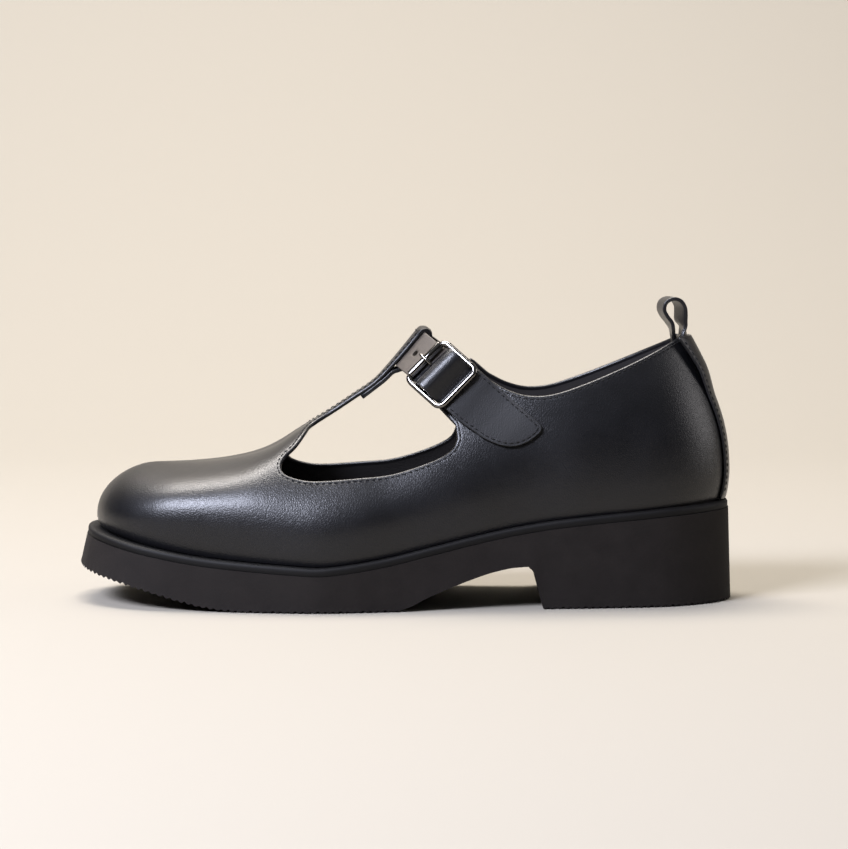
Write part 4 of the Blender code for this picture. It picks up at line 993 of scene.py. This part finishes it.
# %% Buckle axes
FRAME_WIDTH, FRAME_LENGTH, FRAME_WIRE, FRAME_THICKNESS = 24.0, 21.6, 2.6, 1.8
FRAME_REAR_DROP, FRAME_TILT = 29.4, math.radians(31.0)
ROLLER_RADIUS, ROLLER_BORE, ROLLER_LENGTH, CENTRE_BAR_RADIUS = 1.7, 1.3, 17.6, 0.8
PRONG_RADIUS, PRONG_OVERHANG, TAB_THICKNESS, TAB_NECK_WIDTH = 0.65, 2.4, 1.3, 17.0
rear_seat = beside(FRAME_REAR_DROP, 0, -1, 0)[0]
buckle_lean = beside(FRAME_REAR_DROP, FRAME_WIDTH / 3, -1, 0)[0] - rear_seat
BUCKLE_LENGTH = Vector((0, -math.sin(FRAME_TILT), 0)) + SLOPE_DOWN * math.cos(FRAME_TILT)
BUCKLE_ACROSS = (buckle_lean - BUCKLE_LENGTH * buckle_lean.dot(BUCKLE_LENGTH)).normalized()
BUCKLE_UP = BUCKLE_ACROSS.cross(BUCKLE_LENGTH).normalized()
if BUCKLE_UP.y > 0:
    BUCKLE_UP = -BUCKLE_UP
BUCKLE_REAR = (FRAME_LENGTH - FRAME_WIRE) / 2
buckle_stack = TAB_THICKNESS + STRAP_THICKNESS + 6 * GAP + FRAME_THICKNESS / 2
BUCKLE_CENTRE = rear_seat + BUCKLE_UP * buckle_stack - BUCKLE_LENGTH * BUCKLE_REAR


def buckle_at(length, width, up):
    return BUCKLE_CENTRE + BUCKLE_LENGTH * length + BUCKLE_ACROSS * width + BUCKLE_UP * up


print("buckle centre", [round(c, 1) for c in BUCKLE_CENTRE])

# %% [markdown]
# ## Loop at the end of the T-bar
# The T-bar runs on over the ankle strap, is folded round its top edge and comes back underneath. Below the
# strap the returned layer closes on the underside of the bar, where it is sewn. The strap slides in this loop.

# %% T-bar loop
LOOP_EASE = 0.45
layer, strap_room = LOOP_LAYER / 2, LOOP_LAYER + STRAP_THICKNESS + 2 * LOOP_EASE
half_strap = STRAP_WIDTH / 2
loop_path = [(layer + 0.05, half_strap - 5), (layer + 0.05, half_strap - 2.5)]
loop_path += [(layer + strap_room / 2 * (1 - math.cos(a)), half_strap - 1.3 + strap_room / 2 * math.sin(a))
              for a in [math.pi * k / 8 for k in range(9)]]
loop_path += [(layer + strap_room, half_strap - 3), (layer + strap_room, 0), (layer + strap_room, -half_strap + 2),
              (layer + strap_room - 1.3, -half_strap - 0.8), (layer + 2.0, -half_strap - 3.2),
              (layer + 1.7, -half_strap - 8), (layer + 1.7, -half_strap - 18)]
loop_keys = []
for sink, along in loop_path:
    line = []
    for j in range(9):
        y = (LOOP_WIDTH - 0.8) * (j / 8 - 0.5)
        seat, out = around(math.atan2(y, STRAP_AXIS_DROP), min(along, half_strap), 0)
        line.append(seat - out * sink + SLOPE_ALONG * (along - min(along, half_strap)))
    loop_keys.append(line)
loop_grid = laid(loop_keys, KEY_STEPS)
loop_piece = dress("t_bar_loop", leather_strip(loop_grid, LOOP_LAYER), plain_calf, "calf")
print("loop", len(loop_piece.data.polygons), "faces")

# %% [markdown]
# ## Ankle strap and tab
# The strap comes from the inner quarter, passes through the T-bar's loop, under the buckle's roller and up
# over its centre bar, and its tip is tucked under the rear bar. Punched holes take the prong. The tab is sewn
# to the outer quarter and folded round the centre bar.

# %% Ankle strap
def punched(piece, rods):
    """Cuts round holes right through a piece."""
    for start, end, radius in rods:
        bm = bmesh.new()
        bmesh.ops.create_cone(bm, cap_ends=True, segments=28, radius1=radius, radius2=radius,
                              depth=(end - start).length)
        turn = (end - start).to_track_quat("Z", "Y").to_matrix()
        for v in bm.verts:
            v.co = metres((start + end) / 2 + turn @ v.co)
        mesh = bpy.data.meshes.new("punch")
        bm.to_mesh(mesh)
        bm.free()
        punch = placed("punch", mesh)
        hole = piece.modifiers.new("hole", "BOOLEAN")
        hole.object, hole.solver = punch, "EXACT"
        fresh = bpy.data.meshes.new_from_object(piece.evaluated_get(bpy.context.evaluated_depsgraph_get()))
        piece.modifiers.clear()
        piece.data = fresh
        bpy.data.objects.remove(punch, do_unlink=True)


def painted_sheen_strap_calf():
    """Calf with a painted pale sheen and a matt face between the loop and the roller."""
    dulled = calf_material("strap_calf")
    shader = dulled.node_tree.nodes["Principled BSDF"]
    place = add(dulled, "TexCoord").outputs["Object"]
    across_shoe = add(dulled, "SeparateXYZ", links={"Vector": place}).outputs["Y"]
    # Painted sheen: this band between the loop and the roller is painted pale as if it caught the light; the noise
    # makes it patchy, and inside the frame the strap stays black.
    matt_face = add(dulled, "MapRange", {"From Min": -0.0195, "From Max": -0.0165}, {"Value": across_shoe},
                 interpolation_type="SMOOTHSTEP")
    sheen_noise = add(dulled, "TexNoise", {"Scale": per_metre(2.4), "Detail": 4.0}, {"Vector": place})
    patchy_sheen = add(dulled, "MapRange", {"From Min": 0.3, "From Max": 0.7, "To Min": 0.75, "To Max": 1.0},
                {"Value": sheen_noise.outputs["Fac"]})
    black = add(dulled, "MapRange", {"From Min": -0.004, "From Max": 0.001, "To Min": 1.0, "To Max": 0.0},
                {"Value": across_shoe}, interpolation_type="SMOOTHSTEP")
    amount = add(dulled, "Math", links={0: matt_face.outputs[0], 1: patchy_sheen.outputs[0]}, operation="MULTIPLY")
    amount = add(dulled, "Math", links={0: amount.outputs[0], 1: black.outputs[0]}, operation="MULTIPLY")
    # The Mix node keeps a socket for each kind of value, so each kind has its own input and output numbers.
    # The pale grey-brown colour is a painted sheen, and the roughness there is made matt.
    for socket, value, kind, a, b, result in (("Base Color", linear("#463f37"), "RGBA", 6, 7, 2),
                                              ("Roughness", 0.72, "FLOAT", 2, 3, 0)):
        old = shader.inputs[socket].links[0].from_socket
        mix = add(dulled, "Mix", {b: value}, {0: amount.outputs[0], a: old}, data_type=kind)
        feed(dulled, shader, {socket: mix.outputs[result]})
    return dulled


# The strap's calf, with a painted pale sheen between the loop and the roller.
strap_calf = painted_sheen_strap_calf()
STRAP_INNER_END, STRAP_TIP, PUNCH_RADIUS, SPARE_HOLE_PLACE = 36.0, 0.4, 1.3, 12.6
ROUND = 0.4
strap_alongs = [(STRAP_WIDTH - 2 * ROUND) * (j / 8 - 0.5) for j in range(9)]
seat_lift = GAP + STRAP_THICKNESS / 2
under_loop = -(LOOP_LAYER + LOOP_EASE + STRAP_THICKNESS / 2)
strap_keys = [[beside(down, a, 1, seat_lift)[0] for a in strap_alongs]
              for down in (STRAP_INNER_END, STRAP_INNER_END - 5, EAR_END)]
for angle, lift in [(40, seat_lift - 1.0), (26, seat_lift - 2.6)] + [(a, under_loop) for a in (12, 6, 0, -6, -12)]:
    strap_keys.append([around(math.radians(angle), a, lift)[0] for a in strap_alongs])
below = FRAME_THICKNESS / 2 + GAP + STRAP_THICKNESS / 2
front_lift = -(ROLLER_RADIUS + GAP + STRAP_THICKNESS / 2)
inside = BUCKLE_REAR - FRAME_WIRE / 2
over = CENTRE_BAR_RADIUS + TAB_THICKNESS + 2.5 * GAP + STRAP_THICKNESS / 2
strap_path = [(-BUCKLE_REAR, front_lift), (-BUCKLE_REAR * 0.58, front_lift * 0.55)]
strap_path += [(over * math.sin(a), over * math.cos(a))
               for a in [math.radians(d) for d in (-50, -24, 0, 24, 48)]]
strap_path += [(inside * 0.72, -below * 0.35), (inside * 0.96, -below - 0.2), (BUCKLE_REAR, -below - 0.1),
               (BUCKLE_REAR + STRAP_TIP, -below - 0.1)]
for length, up in strap_path:
    edge = half_strap - ROUND + (0.7 if length > -BUCKLE_REAR * 0.8 else 0.0)
    strap_keys.append(across(buckle_at(length, -edge, up), buckle_at(length, edge, up), 9))
strap_grid = facing(laid(strap_keys, KEY_STEPS), Vector((0, -0.2, 1)))
ankle_strap = dress("ankle_strap_calf", leather_strip(strap_grid, STRAP_THICKNESS, ROUND), strap_calf,
                    "calf", "ankle_strap")


def prong_spots():
    bar = CENTRE_BAR_RADIUS + GAP + PRONG_RADIUS
    over_roller = ROLLER_RADIUS + GAP + PRONG_RADIUS
    return [buckle_at(length, 0, up) for length, up in
            ((0.0, -bar), (-BUCKLE_REAR * 0.27, -bar * 0.8), (-BUCKLE_REAR * 0.64, over_roller * 0.72),
             (-BUCKLE_REAR, over_roller), (-BUCKLE_REAR - PRONG_OVERHANG, over_roller * 0.93))]


low, high = prong_spots()[1:3]
spare_spot, spare_normal = around(-SPARE_HOLE_PLACE / STRAP_AXIS_DROP, 0, -LOOP_LAYER)
punched(ankle_strap, [(low * 2 - high, high * 2 - low, PUNCH_RADIUS),
                      (spare_spot - spare_normal * 5, spare_spot + spare_normal * 5, PUNCH_RADIUS)])
print("ankle strap", len(ankle_strap.data.polygons), "faces")

# %% Buckle tab
TAB_REACH = 63.5
# (share of the reach, lower and upper edge as shares of the frame's width, lift off the quarter in mm)
TAB_EDGES = [(0.425, -0.33, 0.43, 0.0), (0.465, -0.38, 0.46, 2.7), (0.53, -0.385, 0.475, 2.2),
             (0.61, -0.37, 0.475, 1.0), (0.7, -0.335, 0.473, 0.2), (0.76, -0.315, 0.472, 0.0),
             (0.86, -0.225, 0.472, 0.0), (0.93, -0.09, 0.472, 0.0), (0.97, 0.08, 0.465, 0.0),
             (0.985, 0.2, 0.445, 0.0), (0.995, 0.33, 0.4, 0.0)]
tab_columns = 17
neck = TAB_NECK_WIDTH / 2 - ROUND
fold = CENTRE_BAR_RADIUS + GAP + TAB_THICKNESS / 2
tab_keys = []
for degrees in (-50, 0, 50, 100, 150, 190):
    a = math.radians(degrees)
    length, up = -fold * math.sin(a), fold * math.cos(a)
    tab_keys.append(across(buckle_at(length, -neck, up), buckle_at(length, neck, up), tab_columns))
tab_keys.append(across(buckle_at(fold * 1.3, -neck, -fold * 1.35),
                       buckle_at(fold * 1.3, neck, -fold * 1.35), tab_columns))
flat_from = len(tab_keys) * KEY_STEPS
for share, low_edge, high_edge, raised in TAB_EDGES:
    low, high = low_edge * FRAME_WIDTH + ROUND, high_edge * FRAME_WIDTH - ROUND
    tab_keys.append([beside(share * TAB_REACH, low + (high - low) * j / (tab_columns - 1), -1,
                            GAP + TAB_THICKNESS / 2 + raised)[0] for j in range(tab_columns)])
tab_grid = facing(laid(tab_keys, KEY_STEPS), Vector((0, -1, 0)))
tab_piece = dress("buckle_tab_calf", leather_strip(tab_grid, TAB_THICKNESS, ROUND), tab_calf, "calf",
                  "buckle_tab")
tab_row = row_inside(tab_grid, TAB_THICKNESS, 0.9, lambda i, j: i >= flat_from + 4)
print("tab", len(tab_piece.data.polygons), "faces")
sewn("stitches_tab", [tab_row])

# %% [markdown]
# ## The buckle
# Frame, roller and prong are die-cast zinc with a polished nickel finish. Nickel is a warm grey metal; what
# the eye reads as silver is the room in it, so the colour is a mid grey and the roughness low. The frame's
# section is an oval, a little wider than it is high, which draws the lights out into thin bright lines.

# %% Polished nickel
nickel, nickel_shader = new_material("polished_nickel", Metallic=1.0)
nickel_shader.inputs["Base Color"].default_value = linear("#6f6c69")
wear = add(nickel, "TexNoise", {"Scale": per_metre(3), "Detail": 4.0},
           {"Vector": add(nickel, "TexCoord").outputs["Object"]})
dull = add(nickel, "MapRange", {"To Min": 0.03, "To Max": 0.09}, {"Value": wear.outputs["Fac"]})
feed(nickel, nickel_shader, {"Roughness": dull.outputs[0]})


# %% Frame with its centre bar
def swept(bm, spots, sizes, closed, sides=16):
    """A bar along spots in the buckle's plane; sizes are its half width and half height at each."""
    count = len(spots)
    rings = []
    for k, spot in enumerate(spots):
        before = spots[k - 1] if closed or k else spot
        after = spots[(k + 1) % count] if closed or k < count - 1 else spot
        way = (after - before).normalized()
        side = way.cross(BUCKLE_UP).normalized()
        up = side.cross(way).normalized()
        wide, high = sizes[k]
        rings.append([bm.verts.new(spot + side * wide * math.cos(t) + up * high * math.sin(t))
                      for t in [2 * math.pi * m / sides for m in range(sides)]])
    tube(bm, rings, closed)


FRAME_CORNER, ROLLER_BAR, FRAME_STRETCH, FRAME_RISE = 3.4, 1.6, 1.2, 0.62
FRAME_SIDES, PRONG_SIDES, ROLLER_FACETS = 24, 14, 40
centre_corner = FRAME_CORNER - FRAME_WIRE / 2 + 0.6
half_long, half_wide = BUCKLE_REAR, FRAME_WIDTH / 2 - FRAME_WIRE / 2
outline = []
for quarter, (sx, sy) in enumerate(((1, 1), (-1, 1), (-1, -1), (1, -1))):
    cx, cy = sx * (half_long - centre_corner), sy * (half_wide - centre_corner)
    for k in range(7):
        a = math.pi / 2 * (quarter + k / 6)
        outline.append((cx + centre_corner * math.cos(a), cy + centre_corner * math.sin(a)))
path = dense([Vector((x, y, 0)) for x, y in outline], True, 0.6)
spots, sizes = [], []
for point in path:
    longer = FRAME_STRETCH * min(1.0, max(0.0, (point.x + half_long) / (2 * half_long)))
    spots.append(buckle_at(point.x + longer, point.y, 0))
    thin = 1.0 if point.x < -half_long + 0.3 else 0.0
    thin *= min(1.0, max(0.0, (ROLLER_LENGTH / 2 + 0.6 - abs(point.y)) / 0.6))
    sizes.append((FRAME_WIRE / 2 * (1 - thin) + ROLLER_BAR / 2 * thin,
                  FRAME_THICKNESS * FRAME_RISE * (1 - thin) + ROLLER_BAR / 2 * thin))
frame_bm = bmesh.new()
swept(frame_bm, spots, sizes, True, FRAME_SIDES)
centre_bar = [buckle_at(0, w * half_wide / 8, 0) for w in range(-8, 9)]
swept(frame_bm, centre_bar, [(CENTRE_BAR_RADIUS, CENTRE_BAR_RADIUS)] * len(centre_bar), False)
bmesh.ops.recalc_face_normals(frame_bm, faces=frame_bm.faces)
frame_piece = dress("buckle_frame_nickel", frame_bm, nickel, "nickel", "buckle_frame")
print("frame", len(frame_piece.data.polygons), "faces")

# %% Roller and prong
end = ROLLER_LENGTH / 2
half_profile = [(ROLLER_BORE, end - 0.15), (ROLLER_BORE + 0.12, end), (ROLLER_RADIUS - 0.2, end),
                (ROLLER_RADIUS - 0.05, end - 0.07), (ROLLER_RADIUS, end - 0.25)]
tube_profile = half_profile + [(r, -z) for r, z in half_profile[::-1]]
roller_bm = bmesh.new()
turned = []
for t in [2 * math.pi * k / ROLLER_FACETS for k in range(ROLLER_FACETS)]:
    turned.append([roller_bm.verts.new(buckle_at(-BUCKLE_REAR + r * math.cos(t), z, r * math.sin(t)))
                   for r, z in tube_profile])
for one, two in zip(turned, turned[1:] + turned[:1]):
    for k in range(len(tube_profile)):
        m = (k + 1) % len(tube_profile)
        roller_bm.faces.new((one[k], two[k], two[m], one[m]))
bmesh.ops.recalc_face_normals(roller_bm, faces=roller_bm.faces)
roller_piece = dress("buckle_roller_nickel", roller_bm, nickel, "nickel", "buckle_roller")

hook_radius = CENTRE_BAR_RADIUS + GAP + PRONG_RADIUS
hook = [buckle_at(-hook_radius * math.sin(a), 0, hook_radius * math.cos(a))
        for a in [math.radians(d) for d in (60, 40, 20, 0, -20, -40, -60, -80, -100, -120, -140)]]
prong_line = hook + through(prong_spots(), 6)
to_tip = [len(prong_line) - 1 - k for k in range(len(prong_line))]
slender = [min(1.0, 0.35 + 0.65 * math.sqrt(left / 3)) if left < 3 else 1.0 for left in to_tip]
prong_bm = bmesh.new()
rings = []
for k, spot in enumerate(prong_line):
    way = (prong_line[min(k + 1, len(prong_line) - 1)] - prong_line[max(k - 1, 0)]).normalized()
    up = BUCKLE_ACROSS.cross(way).normalized()
    turns = [2 * math.pi * m / PRONG_SIDES for m in range(PRONG_SIDES)]
    offsets = [(BUCKLE_ACROSS * math.cos(t) + up * math.sin(t)) * PRONG_RADIUS * slender[k] for t in turns]
    rings.append([prong_bm.verts.new(spot + offset) for offset in offsets])
tube(prong_bm, rings)
bmesh.ops.recalc_face_normals(prong_bm, faces=prong_bm.faces)
prong_piece = dress("buckle_prong_nickel", prong_bm, nickel, "nickel", "buckle_prong")
print("roller", len(roller_piece.data.polygons), "faces, prong", len(prong_piece.data.polygons))

# %% [markdown]
# ## Back strip and pull loop
# A strip of calf covers the back seam down to the sole, sewn along both edges. The pull loop is a narrow
# folded strip: one leg inside the collar and one outside, where the back strip runs over it and rises by its
# thickness. The loop stands up and is turned a little, as a used one is.

# %% Back strip
BACK_STRIP_WIDTH, BACK_STRIP_THICKNESS = 19.0, 1.2
PULL_WIDTH, PULL_THICKNESS, PULL_HEIGHT, PULL_LEG = 11.0, 1.5, 15.5, 7.0


def collar_back():
    """Height at which the collar's edge meets the back of the heel."""
    edge = edge_line(COLLAR_EDGE, 4)
    height = edge[-1][1]
    while height > HEEL_HEIGHT:
        x = behind(0, height, 0)[0].x
        after = next(k for k in range(1, len(edge)) if edge[k][0] >= x or k == len(edge) - 1)
        (x0, z0), (x1, z1) = edge[after - 1], edge[after]
        if height <= z0 + (z1 - z0) * (x - x0) / (x1 - x0):
            break
        height -= 0.1
    return height


def smooth_step(t):
    t = min(1.0, max(0.0, t))
    return t * t * (3 - 2 * t)


collar_top = collar_back()
strip_top, strip_bottom = collar_top - 1.6, sole_top(UPPER_HEEL) + 2 * GAP
strip_half = BACK_STRIP_WIDTH / 2 - ROUND
strip_grid = []
for i in range(61):
    height = strip_bottom + ROUND + (strip_top - strip_bottom - 2 * ROUND) * i / 60
    raised = smooth_step((height - (strip_top - PULL_LEG - 18)) / 14) * (PULL_THICKNESS + GAP)
    strip_grid.append([behind(strip_half * (j / 8 - 1), height, GAP + BACK_STRIP_THICKNESS / 2 + raised)
                       for j in range(17)])
strip_piece = dress("back_strip_calf", leather_strip(strip_grid, BACK_STRIP_THICKNESS, ROUND), box_calf, "calf",
                    "back_strip")
strip_rows = [row_inside(strip_grid, BACK_STRIP_THICKNESS, 1.0, lambda i, j, c=c: j == c and 1 < i < 59)
              for c in (0, 16)]
print("back strip", len(strip_piece.data.polygons), "faces")
sewn("stitches_back_strip", strip_rows)

# %% Pull loop
PULL_SHAPE = [(-0.25, 0.13, 0.04), (-0.285, 0.32, 0.16), (-0.40, 0.475, 0.17), (-0.485, 0.66, 0.17),
              (-0.43, 0.85, 0.19), (-0.24, 0.943, 0.22), (-0.06, 0.895, 0.26), (0.055, 0.74, 0.30),
              (0.085, 0.55, 0.33), (0.08, 0.37, 0.31), (0.07, 0.21, 0.12)]
pull_half = PULL_WIDTH / 2 - ROUND
pull_sides = [pull_half * (j / 4 - 1) for j in range(9)]
collar_edge_point = behind(0, collar_top, 0)[0]
inner_leg, outer_leg = -(WALL + 2 * GAP + PULL_THICKNESS / 2), GAP + PULL_THICKNESS / 2
pull_keys = [[behind(y, collar_top - d, inner_leg)[0] for y in pull_sides]
             for d in (PULL_LEG + 2, PULL_LEG / 2, 1)]
for forward, up, turn in PULL_SHAPE:
    x, z = collar_edge_point.x + forward * PULL_HEIGHT, collar_top + up * PULL_HEIGHT
    pull_keys.append([Vector((x - turn * (y + PULL_WIDTH / 2), y, z)) for y in pull_sides])
pull_keys += [[behind(y, collar_top - d, outer_leg)[0] for y in pull_sides]
              for d in (1, PULL_LEG / 2, PULL_LEG - ROUND)]
pull_grid = laid(pull_keys, 6)
pull_piece = dress("pull_loop_calf", leather_strip(pull_grid, PULL_THICKNESS, ROUND), plain_calf, "calf",
                   "pull_loop")
print("pull loop", len(pull_piece.data.polygons), "faces")

# %% [markdown]
# ## Set: floor, light and camera
# The photograph looks almost level through a long lens, in front of a cream paper sweep. The camera stands
# 1.25 m away and looks down by about 5 degrees. The key light is a softbox high at the left front. A dim one
# above and behind draws the top edges, a weak window on the right lifts the heel, and the strongest one hangs
# high behind and keeps the backdrop bright. The room itself glows from above, which opens the shadows.

# %% Paper sweep
paper, paper_shader = new_material("cream_paper", Roughness=0.9, IOR=1.3)
paper_shader.inputs["Base Color"].default_value = linear("#89847a")
profile = [(-2.2, 0.0), (-1.0, 0.0), (0.6, 0.0)]
profile += [(0.6 + 0.9 * math.sin(a), 0.9 - 0.9 * math.cos(a))
            for a in [math.radians(6 * k) for k in range(1, 16)]]
profile += [(1.5, 2.4), (1.5, 3.2)]
sweep_bm = bmesh.new()
rows = [[sweep_bm.verts.new((x, y, z - 0.0002)) for x in (-4.0, 4.0)] for y, z in profile]
for one, two in zip(rows, rows[1:]):
    sweep_bm.faces.new((one[0], one[1], two[1], two[0])).smooth = True
sweep_mesh = bpy.data.meshes.new("paper_sweep")
sweep_bm.to_mesh(sweep_mesh)
sweep_bm.free()
sweep_mesh.materials.append(paper)
sweep = placed("paper_sweep", sweep_mesh)
sweep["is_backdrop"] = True

# %% Lights
world = bpy.data.worlds.new("room")
bpy.context.scene.world = world
world.use_nodes = True
towards = add(world, "TexCoord").outputs["Generated"]
height = add(world, "SeparateXYZ", links={"Vector": towards}).outputs["Z"]
glow = add(world, "MapRange", {"From Min": 0.1, "From Max": 0.95, "To Min": 0.02, "To Max": 0.34},
           {"Value": height}, interpolation_type="SMOOTHSTEP")
room = world.node_tree.nodes["Background"]
room.inputs["Color"].default_value = linear("#f2f3f6")
world.node_tree.links.new(glow.outputs[0], room.inputs["Strength"])


def softbox(name, where, aim, width, height, watts, colour):
    lamp = bpy.data.lights.new(name, "AREA")
    lamp.shape, lamp.size, lamp.size_y = "RECTANGLE", width, height
    lamp.energy, lamp.color = watts, linear(colour)[:3]
    item = placed(name, lamp)
    item.location = where
    item.rotation_euler = (Vector(aim) - Vector(where)).to_track_quat("-Z", "Y").to_euler()


softbox("key_softbox", (-0.76, -0.84, 0.94), (-0.05, 0.0, 0.06), 0.6, 0.45, 56.0, "#e6ebff")
softbox("top_softbox", (-0.1, 0.5, 1.2), (0.0, 0.0, 0.06), 0.9, 0.3, 12.0, "#fff4e8")
softbox("right_window", (1.3, 0.05, 0.45), (0.1, 0.0, 0.05), 0.5, 0.7, 5.0, "#eeeaea")
softbox("backdrop_softbox", (-0.4, 0.5, 2.2), (-0.1, 1.4, 0.5), 1.6, 0.8, 98.0, "#fffbf8")

# %% Camera
CAMERA_AWAY, CAMERA_TILT, LENS = 1250.0, math.radians(4.9), 129.1
aim = Vector((7.6, 0.0, 71.0))
lens = bpy.data.cameras.new("photo_camera")
lens.sensor_fit, lens.sensor_width, lens.lens = "HORIZONTAL", 36.0, LENS
camera = placed("photo_camera", lens)
camera.location = metres(aim + Vector((0, -math.cos(CAMERA_TILT), math.sin(CAMERA_TILT))) * CAMERA_AWAY)
camera.rotation_euler = (math.pi / 2 - CAMERA_TILT, 0, 0)
lens.clip_start, lens.clip_end = 0.05, 20.0
bpy.context.scene.camera = camera
bpy.context.scene.view_settings.view_transform = "Standard"

# %% Finish
visual_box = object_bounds()
sizes = {"cad": [list(corner) for corner in cad_box], "visual": [list(corner) for corner in visual_box]}
print("sizes", sizes)
